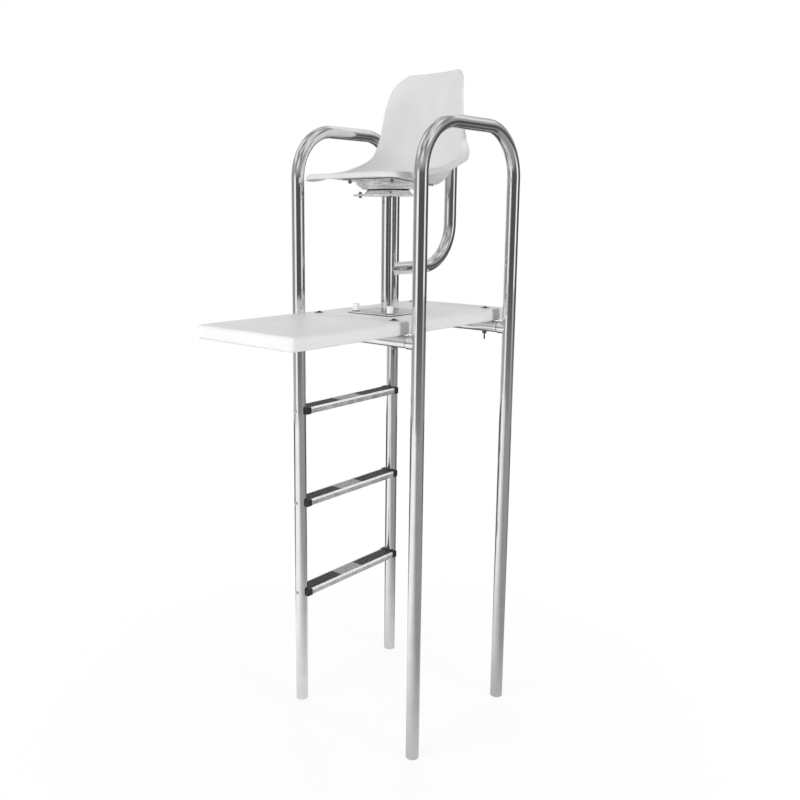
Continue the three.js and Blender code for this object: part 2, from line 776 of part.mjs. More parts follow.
function shellRow(position, drawnIn) {
  const centre = centreLine.getPoint(position);
  centre.z = Math.max(centre.z, panTop); // the pan is flat where it lies on the plate
  const fold = foldLine.getPoint(position);
  const flat = sectionShareAt(position, flatColumn);
  const row = [];
  for (let i = 0; i <= shellColumns; i += 1) {
    const across = (2 * i) / shellColumns - 1;
    const x = across * (fold.x - drawnIn);
    const reach = Math.abs(x) / fold.x;
    const rise = Math.max(0, (reach - flat) / (1 - flat)) ** sectionCurvePower;
    const point = centre.clone().lerp(fold, rise);
    point.x = x;
    row.push(point);
  }
  return { row, skirt: rimSkirt * sectionShareAt(position, skirtColumn) };
}

// Positions of the rows and how far each is drawn in: close together over the rounded corners.
function shellRows() {
  const spans = sectionShares.length - 1;
  const rows = [];
  const corner = (k, share, atFront) => {
    const angle = (k / shellCornerRows) * (Math.PI / 2);
    const along = (1 - Math.cos(angle)) / spans;
    const position = atFront ? along : 1 - along;
    const radius = share * foldLine.getPoint(position).x;
    return shellRow(position, radius * (1 - Math.sin(angle)));
  };
  for (let k = 0; k < shellCornerRows; k += 1) rows.push(corner(k, frontCornerShare, true));
  const steps = (spans - 2) * shellRowsPerSection;
  for (let k = 0; k <= steps; k += 1) {
    rows.push(shellRow((1 + k / shellRowsPerSection) / spans, 0));
  }
  for (let k = shellCornerRows - 1; k >= 0; k -= 1) rows.push(corner(k, topCornerShare, false));
  return rows;
}

// Adds the turned-down rim round the rows and closes the skin into a shell of one thickness.
function shellGeometry() {
  const sections = shellRows();
  const rows = sections.map(({ row }) => row);
  const width = shellColumns + 1;
  const points = rows.flat();
  const triangles = [];
  const quad = (a, b, c, d) => triangles.push([a, b, c], [a, c, d]);
  for (let j = 0; j + 1 < rows.length; j += 1) {
    for (let i = 0; i + 1 < width; i += 1) {
      const at = j * width + i;
      quad(at, at + 1, at + width + 1, at + width);
    }
  }
  const lastRow = (rows.length - 1) * width;
  let loop = [];
  for (let i = 0; i < width - 1; i += 1) loop.push(i);
  for (let j = 0; j < rows.length - 1; j += 1) loop.push(j * width + width - 1);
  for (let i = width - 1; i > 0; i -= 1) loop.push(lastRow + i);
  for (let j = rows.length - 1; j > 0; j -= 1) loop.push(j * width);

  const normals = vertexNormals(points, triangles);
  const size = loop.length;
  const edge = loop.map((at, k) => {
    const tangent = points[loop[(k + 1) % size]].clone().sub(points[loop[(k + size - 1) % size]]);
    const outward = tangent.normalize().cross(normals[at]).normalize();
    const { skirt } = sections[Math.floor(at / width)];
    return { start: points[at], outward, normal: normals[at], skirt };
  });
  for (let k = 1; k <= rimRows + 1; k += 1) {
    const turn = (Math.min(k, rimRows) / rimRows) * rimTurn;
    const ring = edge.map(({ start, outward, normal, skirt }) => {
      const straight = k > rimRows ? skirt : 0;
      const out = rimBendRadius * Math.sin(turn) + straight * Math.cos(turn);
      const down = rimBendRadius * (1 - Math.cos(turn)) + straight * Math.sin(turn);
      points.push(start.clone().addScaledVector(outward, out).addScaledVector(normal, -down));
      return points.length - 1;
    });
    for (let i = 0; i < size; i += 1) {
      const next = (i + 1) % size;
      quad(loop[i], ring[i], ring[next], loop[next]);
    }
    loop = ring;
  }

  const outerNormals = vertexNormals(points, triangles);
  const count = points.length;
  const under = points.map((point, i) =>
    point.clone().addScaledVector(outerNormals[i], -shellThickness),
  );
  const all = [...points, ...under];
  const faces = [...triangles, ...triangles.map(([a, b, c]) => [a + count, c + count, b + count])];
  for (let i = 0; i < size; i += 1) {
    const [a, b] = [loop[i], loop[(i + 1) % size]];
    faces.push([a, a + count, b + count], [a, b + count, b]);
  }
  const geometry = new THREE.BufferGeometry().setFromPoints(all);
  geometry.setIndex(faces.flat());
  return geometry;
}

function vertexNormals(points, triangles) {
  const normals = points.map(() => new THREE.Vector3());
  for (const [a, b, c] of triangles) {
    const first = points[b].clone().sub(points[a]);
    const normal = first.cross(points[c].clone().sub(points[a]));
    for (const at of [a, b, c]) normals[at].add(normal);
  }
  return normals.map((normal) => normal.normalize());
}

{
  const cut = seatScrewPlaces.map(([, x, y]) =>
    holeFor(seatScrewDiameter, shellThickness, x, y, panUnderside),
  );
  place(leaning, 'seat_shell', shaped(shellGeometry(), { cut }), materials.shell());
}

// Ladder treads: a metal tube with a non-slip insert in its top and a saddled cap at each end.
{
  const length = frameDepth - frameTubeDiameter - 2 * treadEndGap;
  const [halfWidth, halfHeight] = [treadWidth / 2, treadThickness / 2];
  const recess = insertThickness + restGap;
  const floor = halfHeight - recess;
  const outline = new THREE.Shape([
    new THREE.Vector2(-halfWidth, -halfHeight),
    new THREE.Vector2(halfWidth, -halfHeight),
    new THREE.Vector2(halfWidth, halfHeight),
    new THREE.Vector2(insertWidth / 2 + restGap, halfHeight),
    new THREE.Vector2(insertWidth / 2 + restGap, floor),
    new THREE.Vector2(-insertWidth / 2 - restGap, floor),
    new THREE.Vector2(-insertWidth / 2 - restGap, halfHeight),
    new THREE.Vector2(-halfWidth, halfHeight),
  ]);
  const [hollowX, hollowLow, hollowHigh] = [
    halfWidth - treadSheet,
    -halfHeight + treadSheet,
    floor - treadSheet,
  ];
  outline.holes.push(
    new THREE.Path([
      new THREE.Vector2(-hollowX, hollowLow),
      new THREE.Vector2(hollowX, hollowLow),
      new THREE.Vector2(hollowX, hollowHigh),
      new THREE.Vector2(-hollowX, hollowHigh),
    ]),
  );
  const names = ['top', 'middle', 'bottom'];
  treadHeights.forEach((top, i) => {
    const z = treadAxisZ(top);
    const metal = new THREE.ExtrudeGeometry(outline, { depth: length, bevelEnabled: false });
    metal.rotateX(Math.PI / 2);
    metal.translate(0, length / 2, 0);
    place(chair, `${names[i]}_tread`, shaped(metal), materials.polished(), -legX, 0, z);

    const insert = new THREE.BoxGeometry(insertWidth, length, insertThickness);
    const insertZ = z + floor + restGap + insertThickness / 2;
    place(chair, `${names[i]}_tread_insert`, shaped(insert), materials.rubber(), -legX, 0, insertZ);

    for (const [end, sign] of [['front', -1], ['rear', 1]]) {
      const headLength = legY - length / 2 - restGap;
      const head = new THREE.BoxGeometry(
        treadWidth + 2 * endCapLip,
        headLength,
        treadThickness + 2 * endCapLip,
      );
      head.translate(0, sign * (legY - headLength / 2), 0);
      const plugLength = endCapPlug + headLength / 2;
      const plug = new THREE.BoxGeometry(
        2 * (hollowX - restGap),
        plugLength,
        hollowHigh - hollowLow - 2 * restGap,
      );
      const plugEnd = length / 2 - endCapPlug;
      plug.translate(0, sign * (plugEnd + plugLength / 2), (hollowHigh + hollowLow) / 2);
      const toolHeight = treadThickness + 2 * endCapLip + 2 * cutOverrun;
      const leg = legTool(0, sign * legY, -toolHeight / 2, toolHeight);
      const boltEnd = length / 2 - treadBoltEngagement;
      const hole = bar(treadBoltDiameter / 2 + restGap, legY - boltEnd + restGap);
      hole.rotateX(-sign * (Math.PI / 2));
      hole.translate(0, sign * (boltEnd - restGap), 0);
      const cap = shaped(head, { add: [plug], cut: [leg, hole] });
      const capName = `${names[i]}_tread_end_cap_${end}`;
      place(chair, capName, cap, materials.black(), -legX, 0, z);

      const headSeat = legY + legRadius + restGap;
      const bolt = headedShank(
        treadBoltDiameter,
        headSeat - boltEnd,
        treadBoltHeadDiameter,
        treadBoltHeadHeight,
        treadBoltHeadDiameter,
        restGap,
      );
      bolt.rotateX(-sign * (Math.PI / 2));
      bolt.translate(0, sign * headSeat, 0);
      place(chair, `${names[i]}_tread_bolt_${end}`, shaped(bolt), materials.fastener(), -legX, 0, z);
    }
  });
}

// The origin of the finished chair: on the floor, in the middle of its bounding box.
chair.position.set(-boxCentreX, -boxCentreY, 0);

const lifeguardChair = new THREE.Group();
lifeguardChair.add(chair);
export default lifeguardChair;
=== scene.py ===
"""Looks of a lifeguard chair: polished tube frames, a white platform board, a white bucket seat on a
swivel, a holder tube behind it and three ladder treads. Metres, in the frame of the CAD model."""

import math

import bmesh
import bpy
import numpy as np
from mathutils import Matrix, Vector


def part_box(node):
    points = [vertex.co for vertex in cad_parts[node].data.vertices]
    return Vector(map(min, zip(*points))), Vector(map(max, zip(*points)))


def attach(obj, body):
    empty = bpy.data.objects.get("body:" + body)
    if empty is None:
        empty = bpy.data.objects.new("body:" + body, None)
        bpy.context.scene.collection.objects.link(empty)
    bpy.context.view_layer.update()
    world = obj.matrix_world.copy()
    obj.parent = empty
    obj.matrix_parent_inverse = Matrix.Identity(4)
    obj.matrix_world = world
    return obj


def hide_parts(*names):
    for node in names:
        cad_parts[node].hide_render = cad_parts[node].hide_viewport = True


bl_info = {
    "name": "Lifeguard Chair",
    "version": (1, 0, 0),
    "blender": (4, 5, 0),
    "location": "3D View > Sidebar > Chair",
    "description": "Builds the visible pieces of a lifeguard chair round its packed CAD model",
    "category": "Object",
}

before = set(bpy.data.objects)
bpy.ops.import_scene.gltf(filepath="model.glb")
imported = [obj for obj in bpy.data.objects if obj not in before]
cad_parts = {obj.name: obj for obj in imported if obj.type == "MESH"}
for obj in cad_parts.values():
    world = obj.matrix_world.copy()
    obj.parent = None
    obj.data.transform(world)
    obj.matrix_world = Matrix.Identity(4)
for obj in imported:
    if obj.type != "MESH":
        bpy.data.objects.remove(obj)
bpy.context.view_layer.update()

MM = 0.001
STAND = "stand"
SWIVEL = "swivel"


def srgb(code):
    """An sRGB hex colour as linear red, green and blue."""
    values = [int(code[at : at + 2], 16) / 255 for at in (1, 3, 5)]
    return [v / 12.92 if v <= 0.04045 else ((v + 0.055) / 1.055) ** 2.4 for v in values]


def colour(name, code, description):
    """A colour property with an sRGB default."""
    return bpy.props.FloatVectorProperty(
        name=name, description=description, subtype="COLOR", size=3, min=0, max=1, default=srgb(code)
    )


def length(name, millimetres, description, most=10.0):
    """A length property with its default in millimetres."""
    return bpy.props.FloatProperty(
        name=name, description=description, unit="LENGTH", min=0, max=most, default=millimetres * MM
    )


def share(name, value, description):
    """A property from 0 to 1."""
    return bpy.props.FloatProperty(
        name=name, description=description, subtype="FACTOR", min=0, max=1, default=value
    )


def count(name, value, description):
    """A whole number property."""
    return bpy.props.IntProperty(name=name, description=description, min=3, max=400, default=value)


# ---------------------------------------------------------------- places from the CAD model


def nodes_like(*starts):
    """Names of the CAD nodes that start with one of the given words."""
    return sorted(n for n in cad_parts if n.startswith(starts))


def middle(node):
    low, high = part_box(node)
    return (low + high) / 2


# ---------------------------------------------------------------- shapes


class Shape:
    """Points and faces gathered for one piece."""

    def __init__(self):
        self.points = []
        self.faces = []
        self.finishes = []

    def add(self, points, faces, finish=0):
        start = len(self.points)
        self.points += [Vector(p) for p in points]
        self.faces += [[start + i for i in face] for face in faces]
        self.finishes += [finish] * len(faces)

    def rings(self, rings, finish=0, looped=False, capped=False, closed=True):
        """Skins a row of rings. Looped joins the last ring to the first; capped closes both ends."""
        size = len(rings[0])
        rows = len(rings) if looped else len(rings) - 1
        columns = size if closed else size - 1
        faces = []
        for j in range(rows):
            low, high = j * size, (j + 1) % len(rings) * size
            for i in range(columns):
                k = (i + 1) % size
                faces.append([low + i, low + k, high + k, high + i])
        if capped:
            faces.append(list(range(size))[::-1])
            faces.append([len(rings) * size - size + i for i in range(size)])
        self.add([p for ring in rings for p in ring], faces, finish)


def at(x=0.0, y=0.0, z=0.0):
    return Matrix.Translation((x, y, z))


ALONG_Y = Matrix(((1, 0, 0, 0), (0, 0, 1, 0), (0, -1, 0, 0), (0, 0, 0, 1)))  # local Z to +Y
ALONG_X = Matrix(((0, 0, 1, 0), (0, 1, 0, 0), (-1, 0, 0, 0), (0, 0, 0, 1)))  # local Z to +X


def softened(profile, closed=False, steps=4):
    """Rounds the corners of a flat outline. Each corner is (a, b) or (a, b, radius)."""
    size = len(profile)
    made = []
    for i, corner in enumerate(profile):
        here = Vector(corner[:2])
        radius = corner[2] if len(corner) > 2 else 0
        if not radius or (not closed and i in (0, size - 1)):
            made.append(tuple(here))
            continue
        back = Vector(profile[i - 1][:2]) - here
        on = Vector(profile[(i + 1) % size][:2]) - here
        angle = back.angle(on)
        reach = min(radius / math.tan(angle / 2), 0.48 * back.length, 0.48 * on.length)
        real = reach * math.tan(angle / 2)
        centre = here + (back.normalized() + on.normalized()).normalized() * (
            real / math.sin(angle / 2)
        )
        start = here + back.normalized() * reach - centre
        end = here + on.normalized() * reach - centre
        sweep = start.angle_signed(end)
        for k in range(steps + 1):
            turn = Matrix.Rotation(-sweep * k / steps, 2)
            made.append(tuple(centre + turn @ start))
    return made


def turned(shape, profile, sides, place=Matrix(), finish=0):
    """Turns a profile of (radius, height) round Z. It starts and ends on the axis, or is closed."""
    looped = profile[0][0] > 0
    rings = []
    for radius, height in profile:
        rings.append(
            [
                place
                @ Vector(
                    (
                        radius * math.cos(2 * math.pi * i / sides),
                        radius * math.sin(2 * math.pi * i / sides),
                        height,
                    )
                )
                for i in range(sides)
            ]
        )
    shape.rings(rings, finish, looped=looped)


def rounded_rectangle(width, depth, radius, steps=8):
    made = []
    for sx, sy, start in ((1, 1, 0), (-1, 1, 90), (-1, -1, 180), (1, -1, 270)):
        for k in range(steps + 1):
            angle = math.radians(start + 90 * k / steps)
            made.append(
                (
                    sx * (width / 2 - radius) + radius * math.cos(angle),
                    sy * (depth / 2 - radius) + radius * math.sin(angle),
                )
            )
    return made


def circle(radius, sides, start=0.0):
    return [
        (radius * math.cos(start + 2 * math.pi * i / sides), radius * math.sin(start + 2 * math.pi * i / sides))
        for i in range(sides)
    ]


def drawn_in(outline, inset):
    """The outline moved inwards along its corners' normals. It runs anticlockwise."""
    size = len(outline)
    made = []
    for i in range(size):
        here = Vector(outline[i])
        back = (here - Vector(outline[i - 1])).normalized()
        on = (Vector(outline[(i + 1) % size]) - here).normalized()
        left = (Vector((-back.y, back.x)) + Vector((-on.y, on.x))).normalized()
        stretch = max(0.5, left.dot(Vector((-on.y, on.x))))
        made.append(tuple(here + left * (inset / stretch)))
    return made


def prism(shape, outline, low, high, edge, steps=3, place=Matrix(), finish=0):
    """An outline raised from low to high, with its two rims rounded by edge."""
    rings = []
    for end, sign in ((low, 1), (high, -1)):
        part = []
        for k in range(steps + 1):
            angle = math.pi / 2 * k / steps
            inset = edge * (1 - math.sin(angle))
            height = end + sign * edge * (1 - math.cos(angle))
            part.append(
                [place @ Vector((x, y, height)) for x, y in drawn_in(outline, inset)]
            )
        rings += part if sign > 0 else part[::-1]
    shape.rings(rings, finish, capped=True)


def band(shape, outline, low, high, place=Matrix(), finish=0):
    """A thin band round an outline from low to high, standing just proud of it. The bands carry painted shade and
    painted highlights along plate edges.
    """
    rings = []
    for inset, height in ((0.5, low), (-0.15, low), (-0.15, high), (0.5, high)):
        rings.append([place @ Vector((x, y, height)) for x, y in drawn_in(outline, inset * MM)])
    shape.rings(rings, finish, looped=True)


def bent_route(corners, radius, steps):
    """Centre points and headings of straight runs joined by round bends."""
    stations = [(corners[0], (corners[1] - corners[0]).normalized())]
    for before, here, after in zip(corners, corners[1:], corners[2:]):
        into = (here - before).normalized()
        out = (after - here).normalized()
        angle = into.angle(out)
        start = here - into * (radius * math.tan(angle / 2))
        inside = (out - into * out.dot(into)).normalized()
        for k in range(steps + 1):
            turn = angle * k / steps
            point = start + into * (radius * math.sin(turn)) + inside * (radius * (1 - math.cos(turn)))
            stations.append((point, into * math.cos(turn) + inside * math.sin(turn)))
    stations.append((corners[-1], (corners[-1] - corners[-2]).normalized()))
    return stations


def hoop(centre, heading, side, radius, sides):
    across = heading.cross(side)
    return [
        centre
        + side * (radius * math.cos(2 * math.pi * i / sides))
        + across * (radius * math.sin(2 * math.pi * i / sides))
        for i in range(sides)
    ]


def tube(shape, stations, side, radius, wall, sides, fit_start=None, fit_end=None, finish=0):
    """A hollow tube along the stations. An end is cut square and broken at its edges, or each of its
    points is moved by fit_start or fit_end, to meet a round neighbour."""
    edge = 0.7 * MM
    outer = [hoop(c, h, side, radius, sides) for c, h in stations]
    inner = [hoop(c, h, side, radius - wall, sides) for c, h in stations]
    for at_end, fit in ((0, fit_start), (-1, fit_end)):
        centre, heading = stations[at_end]
        if fit:
            outer[at_end] = [fit(p) for p in outer[at_end]]
            inner[at_end] = [fit(p) for p in inner[at_end]]
            continue
        step = heading * (edge if at_end == 0 else -edge)
        outer[at_end] = hoop(centre + step, heading, side, radius, sides)
        lip = [
            hoop(centre, heading, side, radius - edge, sides),
            hoop(centre, heading, side, radius - wall + edge / 2, sides),
        ]
        inner[at_end] = hoop(centre + step, heading, side, radius - wall, sides)
        if at_end == 0:
            outer.insert(0, lip[0])
            inner.insert(0, lip[1])
        else:
            outer.append(lip[0])
            inner.append(lip[1])
    shape.rings(outer + inner[::-1], finish, looped=True)


def bead(shape, path, radius, sides=8, finish=0):
    """A closed round bead along a ring of points."""
    size = len(path)
    centre = sum(path, Vector()) / size
    rings = []
    for i, point in enumerate(path):
        heading = (path[(i + 1) % size] - path[i - 1]).normalized()
        away = point - centre
        side = (away - heading * away.dot(heading)).normalized()
        rings.append(hoop(point, heading, side, radius, sides))
    shape.rings(rings, finish, looped=True)


def finished(shape, name, materials, angle=32.0):
    """Makes one object of a shape: doubles merged, faces outwards, shaded smooth between edges."""
    mesh = bpy.data.meshes.new(name)
    mesh.from_pydata([tuple(p) for p in shape.points], [], shape.faces)
    for material in materials:
        mesh.materials.append(material)
    mesh.polygons.foreach_set("material_index", shape.finishes)
    work = bmesh.new()
    work.from_mesh(mesh)
    bmesh.ops.remove_doubles(work, verts=work.verts, dist=1e-6)
    bmesh.ops.dissolve_degenerate(work, edges=work.edges, dist=1e-7)
    bmesh.ops.recalc_face_normals(work, faces=work.faces)
    work.to_mesh(mesh)
    work.free()
    mesh.polygons.foreach_set("use_smooth", [True] * len(mesh.polygons))
    mesh.set_sharp_from_angle(angle=math.radians(angle))
    piece = bpy.data.objects.new(name, mesh)
    bpy.context.scene.collection.objects.link(piece)
    return piece


def settle(piece, body, slot, *nodes):
    """Lets a finished piece ride on its body in place of CAD nodes."""
    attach(piece, body)
    if nodes:
        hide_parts(*nodes)
    return piece


# ---------------------------------------------------------------- node trees


def add_node(tree, kind, inputs=None, **settings):
    """Adds one node: its settings, then the values or linked sockets of its inputs."""
    made = tree.nodes.new(kind)
    for key, value in settings.items():
        setattr(made, key, value)
    for key, value in (inputs or {}).items():
        if isinstance(value, bpy.types.NodeSocket):
            tree.links.new(value, made.inputs[key])
        else:
            made.inputs[key].default_value = value
    return made


def new_material(name):
    material = bpy.data.materials.new(name)
    material.use_nodes = True
    material.node_tree.nodes.clear()
    return material


def finish_material(material, inputs, height=None, strength=0.2, distance=0.2 * MM):
    """Ends a material in its surface shader, with a bump where a height is given."""
    tree = material.node_tree
    if height is not None:
        bump = add_node(
            tree, "ShaderNodeBump", {"Strength": strength, "Distance": distance, "Height": height}
        )
        inputs = {**inputs, "Normal": bump.outputs["Normal"]}
    shader = add_node(tree, "ShaderNodeBsdfPrincipled", inputs)
    add_node(tree, "ShaderNodeOutputMaterial", {"Surface": shader.outputs[0]})
    material.diffuse_color = (*[0.5] * 3, 1)
    return material


def ramp(tree, value, stops, ease="LINEAR"):
    """A colour ramp from (position, linear colour) stops."""
    made = add_node(tree, "ShaderNodeValToRGB", {"Fac": value})
    made.color_ramp.interpolation = ease
    elements = made.color_ramp.elements
    while len(elements) < len(stops):
        elements.new(0.5)
    for element, (position, tint) in zip(elements, stops):
        element.position = position
        element.color = (*tint, 1) if len(tint) == 3 else tint
    return made.outputs["Color"]


def spread(tree, value, low, high, out_low, out_high):
    """Maps a value from one range to another, kept inside it."""
    made = add_node(
        tree,
        "ShaderNodeMapRange",
        {
            "Value": value,
            "From Min": low,
            "From Max": high,
            "To Min": out_low,
            "To Max": out_high,
        },
    )
    return made.outputs["Result"]


def grain(tree, size, stretch=(1, 1, 1), detail=2.0, roughness=0.5):
    """Noise on object coordinates with spots of the given size in metres, stretched along an axis."""
    where = add_node(tree, "ShaderNodeTexCoord").outputs["Object"]
    scaled = add_node(
        tree,
        "ShaderNodeMapping",
        {"Vector": where, "Scale": [1 / (size * s) for s in stretch]},
    )
    made = add_node(
        tree,
        "ShaderNodeTexNoise",
        {"Vector": scaled.outputs[0], "Scale": 1.0, "Detail": detail, "Roughness": roughness},
    )
    return made.outputs["Fac"]


def scaled_tint(tint, factor):
    return [min(1.0, v * factor) for v in tint]


def mixed(tree, factor, first, second):
    """Mixes two colours by a factor socket."""
    made = add_node(tree, "ShaderNodeMix", {"Factor": factor}, data_type="RGBA")
    for socket, value in zip([s for s in made.inputs if s.type == "RGBA"], (first, second)):
        if isinstance(value, bpy.types.NodeSocket):
            tree.links.new(value, socket)
        else:
            socket.default_value = (*value, 1)
    return next(s for s in made.outputs if s.type == "RGBA")


def added(tree, first, second, kind="ADD"):
    return add_node(tree, "ShaderNodeMath", {0: first, 1: second}, operation=kind).outputs[0]


def geometry_tree(name, sockets):
    """An empty Geometry Nodes tree with named inputs, its input node and its output node."""
    tree = bpy.data.node_groups.new(name, "GeometryNodeTree")
    for socket, kind, default in sockets:
        made = tree.interface.new_socket(socket, in_out="INPUT", socket_type=kind)
        if default is not None:
            made.default_value = default
    tree.interface.new_socket("Geometry", in_out="OUTPUT", socket_type="NodeSocketGeometry")
    return tree, tree.nodes.new("NodeGroupInput"), tree.nodes.new("NodeGroupOutput")


def end_tree(tree, output, instances, finish):
    """Realizes the instances and gives them their finish."""
    real = add_node(tree, "GeometryNodeRealizeInstances", {"Geometry": instances})
    dressed = add_node(
        tree, "GeometryNodeSetMaterial", {"Geometry": real.outputs[0], "Material": finish}
    )
    tree.links.new(dressed.outputs[0], output.inputs["Geometry"])


def copies_tree():
    """Puts a shape on every place, turned by the place's own turn."""
    name = "Copies on places"
    if name in bpy.data.node_groups:
        return bpy.data.node_groups[name]
    tree, given, output = geometry_tree(
        name,
        (
            ("Places", "NodeSocketGeometry", None),
            ("Shape", "NodeSocketObject", None),
            ("Size", "NodeSocketFloat", 1.0),
            ("Finish", "NodeSocketMaterial", None),
        ),
    )
    shape = add_node(
        tree, "GeometryNodeObjectInfo", {"Object": given.outputs["Shape"], "As Instance": True}
    )
    turn = add_node(
        tree, "GeometryNodeInputNamedAttribute", {"Name": "turn"}, data_type="FLOAT_VECTOR"
    )
    spots = add_node(
        tree,
        "GeometryNodeInstanceOnPoints",
        {
            "Points": given.outputs["Places"],
            "Instance": shape.outputs["Geometry"],
            "Rotation": turn.outputs["Attribute"],
            "Scale": given.outputs["Size"],
        },
    )
    end_tree(tree, output, spots.outputs[0], given.outputs["Finish"])
    return tree


def balls_tree():
    """A ring of balls."""
    tree, given, output = geometry_tree(
        "Ring of balls",
        (
            ("Places", "NodeSocketGeometry", None),
            ("Ring radius", "NodeSocketFloat", 0.07),
            ("Ball radius", "NodeSocketFloat", 0.003),
            ("Number", "NodeSocketInt", 36),
            ("Finish", "NodeSocketMaterial", None),
        ),
    )
    ring = add_node(
        tree,
        "GeometryNodeMeshCircle",
        {"Vertices": given.outputs["Number"], "Radius": given.outputs["Ring radius"]},
    )
    ball = add_node(
        tree,
        "GeometryNodeMeshUVSphere",
        {"Segments": 16, "Rings": 10, "Radius": given.outputs["Ball radius"]},
    )
    smooth = add_node(tree, "GeometryNodeSetShadeSmooth", {"Geometry": ball.outputs["Mesh"]})
    first = add_node(
        tree,
        "GeometryNodeInstanceOnPoints",
        {"Points": given.outputs["Places"], "Instance": ring.outputs["Mesh"]},
    )
    real = add_node(tree, "GeometryNodeRealizeInstances", {"Geometry": first.outputs[0]})
    balls = add_node(
        tree,
        "GeometryNodeInstanceOnPoints",
        {"Points": real.outputs[0], "Instance": smooth.outputs[0]},
    )
    end_tree(tree, output, balls.outputs[0], given.outputs["Finish"])
    return tree


def ribs_tree():
    """A row of ribs side by side on every place: the grip of a tread."""
    tree, given, output = geometry_tree(
        "Row of ribs",
        (
            ("Places", "NodeSocketGeometry", None),
            ("Rib", "NodeSocketObject", None),
            ("Number", "NodeSocketInt", 11),
            ("Spacing", "NodeSocketFloat", 0.004),
            ("First", "NodeSocketFloat", -0.02),
            ("Finish", "NodeSocketMaterial", None),
        ),
    )
    start = add_node(tree, "ShaderNodeCombineXYZ", {"X": given.outputs["First"]})
    step = add_node(tree, "ShaderNodeCombineXYZ", {"X": given.outputs["Spacing"]})
    row = add_node(
        tree,
        "GeometryNodeMeshLine",
        {
            "Count": given.outputs["Number"],
            "Start Location": start.outputs[0],
            "Offset": step.outputs[0],
        },
    )
    spots = add_node(
        tree,
        "GeometryNodeInstanceOnPoints",
        {"Points": given.outputs["Places"], "Instance": row.outputs[0]},
    )
    real = add_node(tree, "GeometryNodeRealizeInstances", {"Geometry": spots.outputs[0]})
    rib = add_node(
        tree, "GeometryNodeObjectInfo", {"Object": given.outputs["Rib"], "As Instance": True}
    )
    ribs = add_node(
        tree,
        "GeometryNodeInstanceOnPoints",
        {"Points": real.outputs[0], "Instance": rib.outputs["Geometry"]},
    )
    end_tree(tree, output, ribs.outputs[0], given.outputs["Finish"])
    return tree


def grown(name, tree, places, turns=None, **values):
    """Runs a Geometry Nodes tree on places and returns its result as a plain object."""
    base = bpy.data.meshes.new(name + "_places")
    base.from_pydata([tuple(p) for p in places], [], [])
    turn = base.attributes.new("turn", "FLOAT_VECTOR", "POINT")
    for item, value in zip(turn.data, turns or [(0, 0, 0)] * len(places)):
        item.vector = value
    holder = bpy.data.objects.new(name + "_places", base)
    bpy.context.scene.collection.objects.link(holder)
    modifier = holder.modifiers.new("Grow", "NODES")
    modifier.node_group = tree
    for item in tree.interface.items_tree:
        if item.item_type == "SOCKET" and item.in_out == "INPUT":
            key = item.name.replace(" ", "_")
            if key in values:
                modifier[item.identifier] = values.pop(key)
    if values:
        raise RuntimeError(f"{tree.name} has no inputs {sorted(values)}")
    holder.update_tag()
    bpy.context.view_layer.update()
    graph = bpy.context.evaluated_depsgraph_get()
    mesh = bpy.data.meshes.new_from_object(holder.evaluated_get(graph))
    mesh.name = name
    if not mesh.polygons:
        raise RuntimeError(f"{name} came out empty")
    holder.modifiers.remove(modifier)
    bpy.data.objects.remove(holder)
    for attribute in [a for a in mesh.attributes if a.name == "turn"]:
        mesh.attributes.remove(attribute)
    piece = bpy.data.objects.new(name, mesh)
    bpy.context.scene.collection.objects.link(piece)
    return piece


def copies(name, shape, places, material, turns=None, size=1.0):
    """Copies of one shape on places, as one plain object."""
    pattern = finished(shape, name + "_shape", [material])
    piece = grown(
        name, copies_tree(), places, turns=turns, Shape=pattern, Size=size, Finish=material
    )
    bpy.data.objects.remove(pattern)
    return piece


# ---------------------------------------------------------------- settings


class ChairTubeSettings(bpy.types.PropertyGroup):
    """Side frames, cross tubes, post and holder tube."""

    steel: colour("Steel", "#EFEFEF", "Colour of the polished stainless steel")
    roughness: share("Roughness", 0.07, "How far the polish spreads a reflection")
    bend_radius: length("Bend radius", 160, "Centre line radius of the frames' bends")
    holder_bend_radius: length("Holder bend radius", 150, "Centre line radius of the holder's bend")
    wall: length("Tube wall", 2.5, "Wall thickness that shows at the tubes' ends")
    sides: count("Sides", 72, "Facets round a tube")
    bead_radius: length("Weld bead", 1.6, "Radius of the weld bead where a tube meets another")


class ChairPlatformSettings(bpy.types.PropertyGroup):
    """Platform board and its fasteners."""

    board: colour("Board", "#F1F2F2", "Colour of the board's gel coat")
    gloss: share("Board roughness", 0.34, "Roughness of the gel coat")
    corner_radius: length("Corner radius", 13, "Radius of the board's corners seen from above")
    edge_radius: length("Edge radius", 10, "Rounding of the board's edges")
    thread_pitch: length("Thread pitch", 1.25, "Pitch of the thread below the nuts")
    cap: colour("Cap", "#F3F3F0", "Colour of the caps over the base bolts")


class ChairSeatSettings(bpy.types.PropertyGroup):
    """Bucket seat and swivel."""

    shell: colour("Shell", "#DFE0DF", "Colour of the moulded shell")
    width: length("Seat width", 398, "Between the folds where the rim turns down")
    depth: length("Seat depth", 400, "Length that the sections' y shares refer to")
    height: length("Seat height", 375, "Height that the sections' z shares refer to")
    thickness: length("Shell thickness", 4.5, "Wall of the moulded shell")
    rim_radius: length("Rim radius", 6, "Bend where the rim turns down")
    rim_skirt: length("Rim skirt", 30, "Straight part of the turned-down rim where it is deepest")
    rim_turn: bpy.props.FloatProperty(
        name="Rim turn",
        description="Angle through which the rim turns down",
        subtype="ANGLE",
        default=math.radians(68),
    )
    tilt: bpy.props.FloatProperty(
        name="Seat tilt",
        description="Angle by which the seat leans back",
        subtype="ANGLE",
        default=math.radians(5),
    )
    plate: colour("Plate", "#E7E7E8", "Colour of the pressed swivel plates")
    balls: count("Balls", 40, "Number of balls in the swivel")


